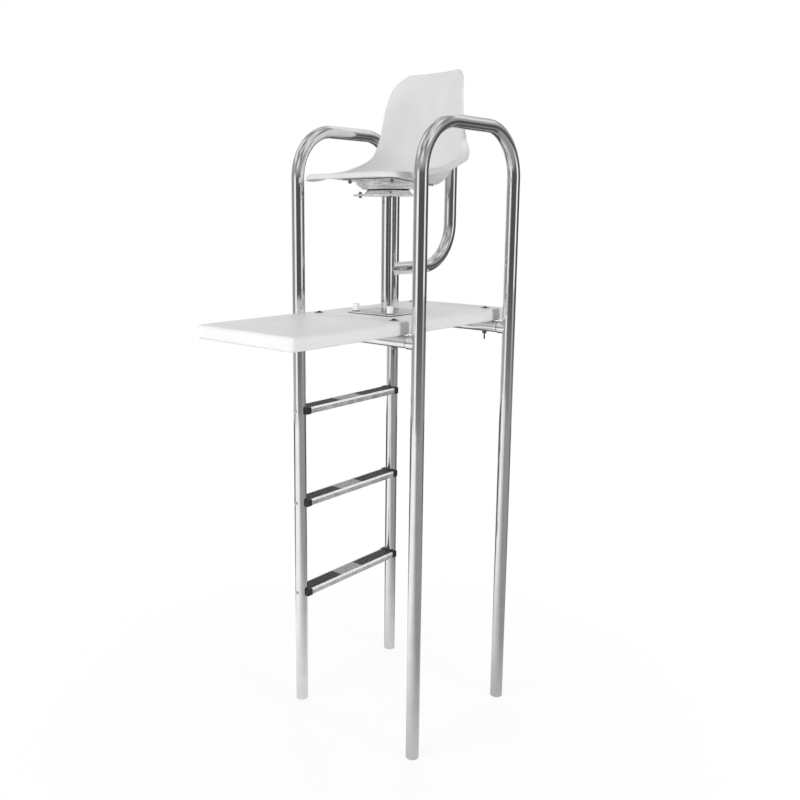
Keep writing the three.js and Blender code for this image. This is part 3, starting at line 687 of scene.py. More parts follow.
class ChairTreadSettings(bpy.types.PropertyGroup):
    """Ladder treads."""

    metal: colour("Metal", "#DADADB", "Colour of the polished tread profile")
    grip: colour("Grip", "#454648", "Colour of the non-slip insert")
    patch: colour("Worn middle", "#ADAEAF", "Colour of the insert's paler middle")
    cap: colour("End caps", "#232426", "Colour of the saddle caps")
    rib_spacing: length("Rib spacing", 4.2, "Distance between the ribs of the insert")


class ChairStageSettings(bpy.types.PropertyGroup):
    """Floor, light and camera."""

    floor: colour("Floor", "#F4F4F4", "Colour of the floor")
    key_power: bpy.props.FloatProperty(
        name="Key power", description="Soft light from the front", unit="POWER", default=330
    )
    fill_power: bpy.props.FloatProperty(
        name="Fill power", description="Soft light from the left side", unit="POWER", default=186
    )
    back_power: bpy.props.FloatProperty(
        name="Back power", description="Soft light from behind", unit="POWER", default=150
    )
    ambient: share("Ambient", 0.34, "Strength of the even light from all round")


class ChairSettings(bpy.types.PropertyGroup):
    """All settings of the chair."""

    tubes: bpy.props.PointerProperty(type=ChairTubeSettings)
    platform: bpy.props.PointerProperty(type=ChairPlatformSettings)
    seat: bpy.props.PointerProperty(type=ChairSeatSettings)
    treads: bpy.props.PointerProperty(type=ChairTreadSettings)
    stage: bpy.props.PointerProperty(type=ChairStageSettings)


# ---------------------------------------------------------------- materials


def once(name):
    """A material made earlier, or None."""
    return bpy.data.materials.get(name)


def polished_stainless():
    """Stainless steel tube, mirror polished: sharp reflections, a little drawn out round the tube by
    the last polishing wheel, with faint smears from hands."""
    name = "Mirror polished stainless steel"
    if once(name):
        return once(name)
    settings = bpy.context.scene.lifeguard_chair.tubes
    material = new_material(name)
    tree = material.node_tree
    smears = grain(tree, 55 * MM, detail=3)  # hand-sized smears, about 55 mm
    lines = grain(tree, 1.6 * MM, stretch=(4, 4, 1), detail=2)  # polishing lines, drawn 1.6 mm apart
    waves = grain(tree, 90 * MM, stretch=(1, 1, 3), detail=1)  # slow waves left by bending
    base = settings.roughness
    rough = spread(tree, smears, 0.35, 0.7, base * 0.75, base * 1.8)
    tint = mixed(
        tree, spread(tree, smears, 0.4, 0.75, 0, 1), settings.steel, scaled_tint(settings.steel, 0.93)
    )
    height = added(tree, lines, added(tree, waves, 6.0, "MULTIPLY"))
    return finish_material(
        material,
        {"Base Color": tint, "Metallic": 1.0, "Roughness": rough},
        height,
        strength=0.05,
        distance=0.12 * MM,
    )


def satin_plate():
    """Pressed stainless sheet with a satin finish: soft reflections, fine grinding lines one way."""
    name = "Satin stainless sheet"
    if once(name):
        return once(name)
    tint = bpy.context.scene.lifeguard_chair.seat.plate
    material = new_material(name)
    tree = material.node_tree
    lines = grain(tree, 1.1 * MM, stretch=(14, 1, 1), detail=2)  # grinding lines, drawn 1.1 mm apart
    clouds = grain(tree, 28 * MM, detail=3)  # uneven satin, clouds of about 28 mm
    rough = added(
        tree, spread(tree, lines, 0.3, 0.7, 0.2, 0.3), spread(tree, clouds, 0.3, 0.7, 0, 0.08)
    )
    shade = mixed(tree, spread(tree, clouds, 0.35, 0.7, 0, 1), tint, scaled_tint(tint, 0.84))
    return finish_material(
        material,
        {"Base Color": shade, "Metallic": 1.0, "Roughness": rough},
        lines,
        strength=0.12,
        distance=0.08 * MM,
    )


# as a band along the base plate's upper edge this finish is a painted highlight
def zinc_plate_and_painted_highlight():
    """Pressed steel, bright zinc plated: half mirror and half milky, with pale clouds where the
    plating is thicker."""
    name = "Bright zinc plated steel"
    if once(name):
        return once(name)
    tint = bpy.context.scene.lifeguard_chair.seat.plate
    material = new_material(name)
    tree = material.node_tree
    clouds = grain(tree, 22 * MM, detail=3)  # clouds in the plating, about 22 mm
    rings = grain(tree, 1.5 * MM, stretch=(24, 24, 1), detail=3)  # spinning lines, drawn 1.5 mm apart
    pale = scaled_tint(tint, 1.16)
    shade = mixed(tree, spread(tree, clouds, 0.35, 0.7, 0, 1), pale, scaled_tint(pale, 0.93))
    shade = mixed(tree, spread(tree, rings, 0.46, 0.64, 0, 1), shade, scaled_tint(pale, 0.5))
    return finish_material(
        material,
        {
            "Base Color": shade,
            "Metallic": spread(tree, clouds, 0.3, 0.7, 0.05, 0.2),
            "Roughness": spread(tree, clouds, 0.3, 0.7, 0.2, 0.3),
        },
        rings,
        strength=0.1,
        distance=0.08 * MM,
    )


def fastener_steel():
    """Plain stainless bolts and nuts as they come: slightly dull, darker in their pores."""
    name = "Plain stainless fasteners"
    if once(name):
        return once(name)
    material = new_material(name)
    tree = material.node_tree
    pores = grain(tree, 2.2 * MM, detail=3)  # specks of the headed surface, about 2.2 mm
    shade = mixed(
        tree, spread(tree, pores, 0.35, 0.7, 0, 1), srgb("#A9ABAC"), srgb("#77797B")
    )
    rough = spread(tree, pores, 0.3, 0.7, 0.22, 0.4)
    return finish_material(
        material,
        {"Base Color": shade, "Metallic": 1.0, "Roughness": rough},
        pores,
        strength=0.1,
        distance=0.1 * MM,
    )


def black_oxide_and_painted_shade():
    """Oxidised alloy steel of set screws and button heads: nearly black, with worn grey tops. The same near black
    is laid as thin bands along the edges of the base plate and the seat plate, and as a ring at each collar's end,
    where it is painted shade.
    """
    name = "Black oxide steel and painted shade"
    if once(name):
        return once(name)
    material = new_material(name)
    tree = material.node_tree
    wear = grain(tree, 3 * MM, detail=3)  # worn spots of about 3 mm
    shade = mixed(tree, spread(tree, wear, 0.5, 0.72, 0, 1), srgb("#3A3B3D"), srgb("#6B6C6E"))
    return finish_material(
        material,
        {"Base Color": shade, "Metallic": 1.0, "Roughness": spread(tree, wear, 0.4, 0.7, 0.45, 0.3)},
        wear,
        strength=0.1,
        distance=0.1 * MM,
    )


def gel_coat():
    """White polyester gel coat from a waxed mould: satin gloss with faint orange peel, and a few
    grey scuffs where feet rub."""
    name = "White gel coat"
    if once(name):
        return once(name)
    settings = bpy.context.scene.lifeguard_chair.platform
    material = new_material(name)
    tree = material.node_tree
    peel = grain(tree, 5 * MM, detail=2)  # orange peel, waves of about 5 mm
    clouds = grain(tree, 120 * MM, detail=3)  # slow change in the coat's thickness
    scuffs = grain(tree, 9 * MM, stretch=(1, 7, 1), detail=4, roughness=0.7)  # scuffs 9 by 60 mm
    scuffed = spread(tree, scuffs, 0.66, 0.76, 0, 0.5)
    base = mixed(tree, spread(tree, clouds, 0.3, 0.7, 0, 1), settings.board, scaled_tint(settings.board, 0.965))
    shade = mixed(tree, scuffed, base, scaled_tint(settings.board, 0.86))
    rough = spread(tree, scuffs, 0.55, 0.76, settings.gloss, settings.gloss + 0.2)
    return finish_material(
        material,
        {"Base Color": shade, "Roughness": rough, "IOR": 1.52},
        peel,
        strength=0.06,
        distance=0.15 * MM,
    )


def moulded_shell():
    """White polypropylene shell, injection moulded against a spark-eroded tool: fine leathery
    pebbles, a soft sheen, slightly smoother where a sitter has rubbed it."""
    name = "White moulded polypropylene"
    if once(name):
        return once(name)
    tint = bpy.context.scene.lifeguard_chair.seat.shell
    material = new_material(name)
    tree = material.node_tree
    pebbles = grain(tree, 1.8 * MM, detail=2)  # pebbled texture, drawn 1.8 mm across
    flow = grain(tree, 70 * MM, stretch=(1, 1.6, 2.5), detail=2)  # flow marks of the moulding
    shade = mixed(tree, spread(tree, flow, 0.35, 0.7, 0, 1), tint, scaled_tint(tint, 0.955))
    rough = spread(tree, flow, 0.3, 0.7, 0.36, 0.46)
    return finish_material(
        material,
        {"Base Color": shade, "Roughness": rough, "IOR": 1.49},
        pebbles,
        strength=0.1,
        distance=0.12 * MM,
    )


def cap_plastic():
    """White polyethylene caps: waxy, a little see-through at the edges."""
    name = "White polyethylene"
    if once(name):
        return once(name)
    tint = bpy.context.scene.lifeguard_chair.platform.cap
    material = new_material(name)
    tree = material.node_tree
    wax = grain(tree, 6 * MM, detail=2)  # waxy clouds of about 6 mm
    shade = mixed(tree, spread(tree, wax, 0.35, 0.7, 0, 1), tint, scaled_tint(tint, 0.93))
    return finish_material(
        material,
        {
            "Base Color": shade,
            "Roughness": spread(tree, wax, 0.3, 0.7, 0.3, 0.42),
            "IOR": 1.51,
            "Subsurface Weight": 0.08,
            "Subsurface Scale": 2 * MM,
        },
        wax,
        strength=0.05,
        distance=0.1 * MM,
    )


def black_nylon():
    """Black glass-filled nylon, moulded: dull, with a fine sandy skin."""
    name = "Black nylon"
    if once(name):
        return once(name)
    tint = bpy.context.scene.lifeguard_chair.treads.cap
    material = new_material(name)
    tree = material.node_tree
    sand = grain(tree, 1.2 * MM, detail=3)  # sandy skin, drawn 1.2 mm across
    shade = mixed(tree, spread(tree, sand, 0.35, 0.7, 0, 1), tint, scaled_tint(tint, 1.5))
    return finish_material(
        material,
        {"Base Color": shade, "Roughness": spread(tree, sand, 0.3, 0.7, 0.42, 0.58), "IOR": 1.53},
        sand,
        strength=0.15,
        distance=0.1 * MM,
    )


def grip_rubber():
    """Ribbed rubber insert: dull black, rubbed to a paler grey in the middle where feet land."""
    name = "Ribbed rubber"
    if once(name):
        return once(name)
    settings = bpy.context.scene.lifeguard_chair.treads
    tread_low, tread_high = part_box("top_tread")
    centre = (tread_low.y + tread_high.y) / 2
    material = new_material(name)
    tree = material.node_tree
    where = add_node(tree, "ShaderNodeTexCoord").outputs["Object"]
    along = add_node(tree, "ShaderNodeSeparateXYZ", {"Vector": where}).outputs["Y"]
    dust = grain(tree, 4 * MM, detail=4, roughness=0.7)  # dust in the ribs, specks of 4 mm
    uneven = spread(tree, dust, 0.3, 0.7, -3 * MM, 3 * MM)
    edge = added(tree, along, uneven)
    starts = spread(tree, edge, centre - 68 * MM, centre - 62 * MM, 0, 1)
    ends = spread(tree, edge, centre + 47 * MM, centre + 53 * MM, 1, 0)
    worn = added(tree, starts, ends, "MULTIPLY")
    dull = mixed(tree, spread(tree, dust, 0.4, 0.75, 0, 1), settings.grip, scaled_tint(settings.grip, 1.9))
    pale = mixed(tree, spread(tree, dust, 0.4, 0.75, 0, 1), settings.patch, scaled_tint(settings.patch, 0.85))
    shade = mixed(tree, worn, dull, pale)
    return finish_material(
        material,
        {"Base Color": shade, "Roughness": spread(tree, dust, 0.3, 0.7, 0.62, 0.8), "IOR": 1.52},
        dust,
        strength=0.15,
        distance=0.15 * MM,
    )


def tread_metal():
    """Drawn aluminium profile, brightened and anodised: half mirror, half milky, with drawing lines
    along it."""
    name = "Bright anodised aluminium"
    if once(name):
        return once(name)
    tint = bpy.context.scene.lifeguard_chair.treads.metal
    material = new_material(name)
    tree = material.node_tree
    lines = grain(tree, 1.0 * MM, stretch=(1, 60, 1), detail=2)  # drawing lines along the tread
    clouds = grain(tree, 35 * MM, detail=2)  # handling marks of about 35 mm
    rough = added(
        tree, spread(tree, lines, 0.3, 0.7, 0.1, 0.16), spread(tree, clouds, 0.4, 0.7, 0, 0.06)
    )
    shade = mixed(tree, spread(tree, clouds, 0.4, 0.75, 0, 1), tint, scaled_tint(tint, 0.9))
    return finish_material(
        material,
        {"Base Color": shade, "Metallic": spread(tree, clouds, 0.35, 0.7, 0.5, 0.8), "Roughness": rough},
        lines,
        strength=0.1,
        distance=0.06 * MM,
    )


def painted_edge_highlight():
    """The profile's rounded upper edges, paler and matt so that they show a bright line all along: a painted
    highlight."""
    name = "Blasted anodised aluminium"
    if once(name):
        return once(name)
    tint = scaled_tint(bpy.context.scene.lifeguard_chair.treads.metal, 1.4)
    material = new_material(name)
    tree = material.node_tree
    highlight_speckle = grain(tree, 6 * MM, detail=2)  # uneven speckles in the painted highlight, drawn 6 mm across
    shade = mixed(tree, spread(tree, highlight_speckle, 0.35, 0.7, 0, 1), tint, scaled_tint(tint, 0.95))
    return finish_material(
        material,
        {
            "Base Color": shade,
            "Metallic": spread(tree, highlight_speckle, 0.3, 0.7, 0.0, 0.05),
            "Roughness": spread(tree, highlight_speckle, 0.3, 0.7, 0.35, 0.5),
        },
        highlight_speckle,
        strength=0.08,
        distance=0.06 * MM,
    )


def bearing_steel():
    """Hardened chrome steel balls: bright, with a film of grease that dulls them unevenly."""
    name = "Greased bearing steel"
    if once(name):
        return once(name)
    material = new_material(name)
    tree = material.node_tree
    film = grain(tree, 3 * MM, detail=2)  # grease film, patches of about 3 mm
    shade = mixed(tree, spread(tree, film, 0.4, 0.7, 0, 1), srgb("#B6B7B8"), srgb("#6E6A60"))
    return finish_material(
        material,
        {"Base Color": shade, "Metallic": 1.0, "Roughness": spread(tree, film, 0.35, 0.7, 0.12, 0.35)},
        film,
        strength=0.05,
        distance=0.05 * MM,
    )


# ---------------------------------------------------------------- pieces

REST_GAP = 0.3 * MM
LEG_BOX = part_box("left_side_frame")
LEG_RADIUS = (LEG_BOX[1].x - LEG_BOX[0].x) / 2
LEFT_X = middle("left_side_frame").x
RIGHT_X = (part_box("right_side_frame")[0].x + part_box("right_side_frame")[1].x) / 2
FRONT_Y = LEG_BOX[0].y + LEG_RADIUS
REAR_Y = LEG_BOX[1].y - LEG_RADIUS
POST = middle("seat_post")


def chair():
    return bpy.context.scene.lifeguard_chair


def meets_bar(axis_x, axis_y, radius, along):
    """Moves a point along X or Y until it lies on an upright bar, on the side where it already is."""

    def fit(point):
        if along == "X":
            reach = math.sqrt(max(0.0, radius**2 - (point.y - axis_y) ** 2))
            side = 1 if axis_x < 0 else -1
            return Vector((axis_x + side * reach, point.y, point.z))
        reach = math.sqrt(max(0.0, radius**2 - (point.x - axis_x) ** 2))
        return Vector((point.x, axis_y + reach, point.z))

    return fit


def thread(radius, pitch, low, high):
    """Profile of a thread from low to high, crest and root in turn."""
    turns = max(1, int((high - low) / pitch))
    step = (high - low) / turns
    made = [(radius - 0.6 * pitch, low)]
    for k in range(turns):
        made += [(radius, low + (k + 0.5) * step), (radius - 0.55 * pitch, low + (k + 1) * step)]
    return made


def hexagon(across):
    return circle(across / 2, 6)


class CHAIR_OT_side_frames(bpy.types.Operator):
    """Build the two bent tubes that are legs and armrests."""

    bl_idname = "lifeguard_chair.side_frames"
    bl_label = "Side frames"

    def execute(self, context):
        settings = chair().tubes
        for name in ("right_side_frame", "left_side_frame"):
            low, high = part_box(name)
            radius = (high.x - low.x) / 2
            x = (low.x + high.x) / 2
            top = high.z - radius
            corners = [
                Vector((x, low.y + radius, low.z)),
                Vector((x, low.y + radius, top)),
                Vector((x, high.y - radius, top)),
                Vector((x, high.y - radius, low.z)),
            ]
            shape = Shape()
            route = bent_route(corners, settings.bend_radius, 28)
            tube(shape, route, Vector((1, 0, 0)), radius, settings.wall, settings.sides)
            piece = finished(shape, name + "_tube", [polished_stainless()])
            settle(piece, STAND, "polished_tube", name)
        return {"FINISHED"}


class CHAIR_OT_cross_tubes(bpy.types.Operator):
    """Build the two cross tubes, their end collars and the collars' set screws."""

    bl_idname = "lifeguard_chair.cross_tubes"
    bl_label = "Cross tubes"

    def execute(self, context):
        settings = chair().tubes
        side = Vector((0, 1, 0))
        screws = []
        for end in ("front", "rear"):
            name = f"{end}_cross_tube"
            low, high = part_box(name)
            radius = (high.z - low.z) / 2
            centre = (low + high) / 2
            shape = Shape()
            ends = [
                (Vector((RIGHT_X, centre.y, centre.z)), Vector((1, 0, 0))),
                (Vector((LEFT_X, centre.y, centre.z)), Vector((1, 0, 0))),
            ]
            fits = [
                meets_bar(x, centre.y, LEG_RADIUS + REST_GAP, "X") for x in (RIGHT_X, LEFT_X)
            ]
            tube(shape, ends, side, radius, settings.wall * 0.8, settings.sides, fits[0], fits[1])
            piece = finished(shape, name + "_bar", [polished_stainless()])
            settle(piece, STAND, "polished_tube", name)

            for leg_x, word, sign in ((RIGHT_X, "right", 1), (LEFT_X, "left", -1)):
                node = f"{end}_{word}_cross_tube_collar"
                low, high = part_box(node)
                outer = (high.z - low.z) / 2
                inner_x = high.x if sign > 0 else low.x
                shape = Shape()
                stations = [
                    (Vector((inner_x, centre.y, centre.z)), Vector((-sign, 0, 0))),
                    (Vector((inner_x - sign * 2.2 * MM, centre.y, centre.z)), Vector((-sign, 0, 0))),
                    (Vector((leg_x, centre.y, centre.z)), Vector((-sign, 0, 0))),
                ]
                fit = meets_bar(leg_x, centre.y, LEG_RADIUS + REST_GAP, "X")
                tube(
                    shape,
                    stations,
                    side,
                    outer,
                    outer - radius - REST_GAP,
                    settings.sides,
                    fit_end=fit,
                )
                # painted shade: a thin near black ring at the collar's inner end, for the dark line where the
                # collar meets the tube
                lip = [(outer - 0.5 * MM, 0.0), (outer + 0.15 * MM, 0.0)]
                lip += [(outer + 0.15 * MM, 1.5 * MM), (outer - 0.5 * MM, 1.5 * MM)]
                start = inner_x if sign < 0 else inner_x - 1.5 * MM
                turned(shape, lip, settings.sides, at(start, centre.y, centre.z) @ ALONG_X, 1)
                piece = finished(shape, node + "_ring", [polished_stainless(), black_oxide_and_painted_shade()])
                settle(piece, STAND, "steel_plate", node)
                screws.append(Vector((inner_x - sign * 8 * MM, centre.y - outer, centre.z)))
        shape = Shape()
        turned(shape, set_screw_profile(2.6 * MM), 24, ALONG_Y)
        piece = copies(
            "collar_set_screws", shape, screws, black_oxide_and_painted_shade(), turns=[(0, 0, math.pi)] * len(screws)
        )
        settle(piece, STAND, "fastener")
        return {"FINISHED"}


def set_screw_profile(radius):
    """A set screw's socket end; height 0 lies on the surface that it is screwed into."""
    return [
        (0, -1.2 * MM),
        (radius, -1.2 * MM),
        (radius, 0.15 * MM),
        (0.85 * radius, 0.4 * MM),
        (0.55 * radius, 0.4 * MM),
        (0.5 * radius, -0.8 * MM),
        (0, -0.8 * MM),
    ]


class CHAIR_OT_platform(bpy.types.Operator):
    """Build the long board with its rounded edges."""

    bl_idname = "lifeguard_chair.platform"
    bl_label = "Platform board"

    def execute(self, context):
        settings = chair().platform
        low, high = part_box("platform_board")
        centre = (low + high) / 2
        outline = rounded_rectangle(high.x - low.x, high.y - low.y, settings.corner_radius, 14)
        shape = Shape()
        place = at(centre.x, centre.y)
        prism(shape, outline, low.z, high.z, settings.edge_radius, 10, place)
        piece = finished(shape, "platform_gel_coat", [gel_coat()], 40)
        settle(piece, STAND, "white_board", "platform_board")
        return {"FINISHED"}


class CHAIR_OT_platform_fasteners(bpy.types.Operator):
    """Build the bolts, washers and nuts that hold the board to the cross tubes."""

    bl_idname = "lifeguard_chair.platform_fasteners"
    bl_label = "Platform fasteners"

    def execute(self, context):
        settings = chair().platform
        bolts = nodes_like("platform_bolt_")
        nuts = nodes_like("platform_nut_")
        low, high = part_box(bolts[0])
        seat = high.z - 5 * MM
        nut_low, nut_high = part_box(nuts[0])
        places = [Vector((middle(n).x, middle(n).y, seat)) for n in bolts]

        washer = Shape()
        ring = [(4.2, 0), (14, 0, 0.3), (14, 1.8, 0.5), (4.2, 1.8)]
        turned(washer, scaled(softened(ring, closed=True, steps=3)), 40)
        piece = copies("platform_washers", washer, places, fastener_steel())
        settle(piece, STAND, "fastener")

        bolt = Shape()
        foot = nut_low.z - seat + 1 * MM
        head = [(4, 1.8), (6.5, 1.9, 0.3), (6.3, 3.2, 0.9), (4.4, 4.7, 1.2), (3.4, 5.0, 0.2)]
        socket = [(2.2, 5.0, 0.2), (2.0, 3.1), (0, 3.1)]
        profile = [(0, foot), (4 * MM, foot)] + scaled(softened(head + socket, steps=3))
        turned(bolt, profile, 36)
        piece = copies("platform_bolts", bolt, places, black_oxide_and_painted_shade())
        settle(piece, STAND, "fastener", *bolts)

        nut = Shape()
        top = nut_high.z - nut_low.z
        prism(nut, hexagon(15 * MM), 0, top - 1.4 * MM, 0.7 * MM, 2)
        ring = [(4.2, 0), (8.5, 0, 0.3), (8.5, 1.6, 0.3), (4.2, 1.6)]
        turned(nut, scaled(softened(ring, closed=True, steps=2)), 36, at(z=top - 1.6 * MM))
        ends = thread(3 * MM, settings.thread_pitch, low.z - nut_low.z, 0)
        turned(nut, [(0, low.z - nut_low.z)] + ends + [(0, 0)], 24)
        spots = [Vector((middle(n).x, middle(n).y, nut_low.z)) for n in nuts]
        turns = [(0, 0, 0.35 + 0.61 * i) for i in range(len(nuts))]
        piece = copies("platform_nuts", nut, spots, fastener_steel(), turns=turns)
        settle(piece, STAND, "fastener", *nuts)
        return {"FINISHED"}


def scaled(profile):
    """A profile in millimetres as metres."""
    return [(a * MM, b * MM) for a, b in profile]


class CHAIR_OT_post(bpy.types.Operator):
    """Build the base plate, its capped bolts, the seat post and its set screws."""

    bl_idname = "lifeguard_chair.post"
    bl_label = "Seat post"

    def execute(self, context):
        tubes = chair().tubes
        low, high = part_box("post_base_plate")
        plate_top = low.z + 5 * MM
        shape = Shape()
        outline = rounded_rectangle(high.x - low.x, high.y - low.y, 10 * MM, 8)
        place = at(POST.x, POST.y)
        prism(shape, outline, low.z, plate_top, 0.8 * MM, 3, place)
        # painted shade: a near black band low round the plate's edge, for the shade under it; painted highlight: a
        # band of the paler, milkier zinc finish above it, along the plate's upper edge
        band(shape, outline, low.z + 0.1 * MM, low.z + 2.2 * MM, place, 1)
        band(shape, outline, low.z + 2.3 * MM, plate_top - 0.4 * MM, place, 2)
        stub = 18.3 * MM
        stations = [(Vector((POST.x, POST.y, z)), Vector((0, 0, 1))) for z in (plate_top, high.z)]
        tube(shape, stations, Vector((1, 0, 0)), stub, 3 * MM, 48)
        piece = finished(shape, "base_plate", [satin_plate(), black_oxide_and_painted_shade(), zinc_plate_and_painted_highlight()])
        settle(piece, STAND, "steel_plate", "post_base_plate")

        low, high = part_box("seat_post")
        radius = (high.x - low.x) / 2
        shape = Shape()
        stations = [(Vector((POST.x, POST.y, z)), Vector((0, 0, 1))) for z in (low.z, high.z)]
        tube(shape, stations, Vector((1, 0, 0)), radius, tubes.wall, tubes.sides)
        piece = finished(shape, "seat_post_tube", [polished_stainless()])
        settle(piece, STAND, "polished_tube", "seat_post")

        screw = Shape()
        turned(screw, set_screw_profile(3.4 * MM), 28, ALONG_Y)
        spots = [
            Vector((POST.x, POST.y - radius, z)) for z in (low.z + 33 * MM, high.z - 18 * MM)
        ]
        piece = copies(
            "post_set_screws", screw, spots, black_oxide_and_painted_shade(), turns=[(0, 0, math.pi)] * len(spots)
        )
        settle(piece, STAND, "fastener")

        bolts = nodes_like("base_bolt_front", "base_bolt_rear")
        low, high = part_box(bolts[0])
        board_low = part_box("platform_board")[0].z
        bolt = Shape()
        seat = plate_top + REST_GAP
        ring = [(5, 0), (13, 0, 0.4), (13, 2, 0.5), (5, 2)]
        turned(bolt, scaled(softened(ring, closed=True, steps=3)), 44)
        prism(bolt, hexagon(15 * MM), 2 * MM, high.z - seat, 0.6 * MM, 2)
        nut_top = board_low - REST_GAP - seat
        prism(bolt, hexagon(18 * MM), nut_top - 8 * MM, nut_top, 0.8 * MM, 2)
        ends = thread(5 * MM, 1.5 * MM, low.z - seat, nut_top - 8 * MM)
        turned(bolt, [(0, low.z - seat)] + ends + [(5 * MM, 2 * MM), (0, 2 * MM)], 32)
        places = [Vector((middle(n).x, middle(n).y, seat)) for n in bolts]
        turns = [(0, 0, 0.2 + 0.47 * i) for i in range(len(places))]
        piece = copies("base_bolts", bolt, places, fastener_steel(), turns=turns)
        settle(piece, STAND, "fastener", *bolts)

        caps = nodes_like("base_bolt_cap_")
        low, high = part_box(caps[0])
        tall = (high.z - low.z) / MM
        outer = (high.x - low.x) / 2 / MM
        profile = [
            (0, tall - 2),
            (outer - 3.2, tall - 2, 1),
            (outer - 2.2, tall - 5, 1),
            (outer - 2, 0),
            (outer, 0, 0.4),
            (outer, 2.4, 0.4),
            (outer - 0.4, 2.9, 0.4),
            (outer - 0.6, tall, 2.2),
            (outer - 4, tall, 0.6),
            (outer - 5, tall - 0.4, 0.6),
            (0, tall - 0.4),
        ]
        cap = Shape()
        turned(cap, scaled(softened(profile, steps=6)), 48)
        places = [Vector((middle(n).x, middle(n).y, low.z)) for n in caps]
        piece = copies("base_bolt_caps", cap, places, cap_plastic())
        settle(piece, STAND, "white_cap", *caps)
        return {"FINISHED"}


class CHAIR_OT_holder(bpy.types.Operator):
    """Build the bent holder tube behind the seat, with the weld bead round its foot."""

    bl_idname = "lifeguard_chair.holder"
    bl_label = "Holder tube"

    def execute(self, context):
        settings = chair().tubes
        low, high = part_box("holder_tube")
        radius = (high.x - low.x) / 2
        z = low.z + radius
        y = high.y - radius
        corners = [
            Vector((POST.x, POST.y, z)),
            Vector((POST.x, y, z)),
            Vector((POST.x, y, high.z)),
        ]
        post_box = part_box("seat_post")
        post_radius = (post_box[1].x - post_box[0].x) / 2
        fit = meets_bar(POST.x, POST.y, post_radius + REST_GAP, "Y")
        shape = Shape()
        side = Vector((1, 0, 0))
        route = bent_route(corners, settings.holder_bend_radius, 32)
        tube(shape, route, side, radius, 2 * MM, settings.sides, fit_start=fit)
        size = 72
        seam = []
        for i in range(size):
            angle = 2 * math.pi * i / size
            point = Vector((radius * math.cos(angle), 0, radius * math.sin(angle)))
            point = fit(corners[0] + point * 0.995)
            seam.append(point + Vector((0, 0.6 * MM, 0)))
        bead(shape, seam, settings.bead_radius, 10)
        piece = finished(shape, "holder_bent_tube", [polished_stainless()])
        settle(piece, STAND, "polished_tube", "holder_tube")
        return {"FINISHED"}


TOP_PLATE_THICKNESS = 4 * MM
SEAT_PLATE_SIZE = 215 * MM
DISH_DEPTH = 22.5 * MM


def lean():
    """The leaning frame of the upper plate and the seat: z = 0 is the top of the plate."""
    pivot = at(POST.x, POST.y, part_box("swivel_upper_plate")[0].z + DISH_DEPTH)
    return pivot @ Matrix.Rotation(-chair().seat.tilt, 4, "X")


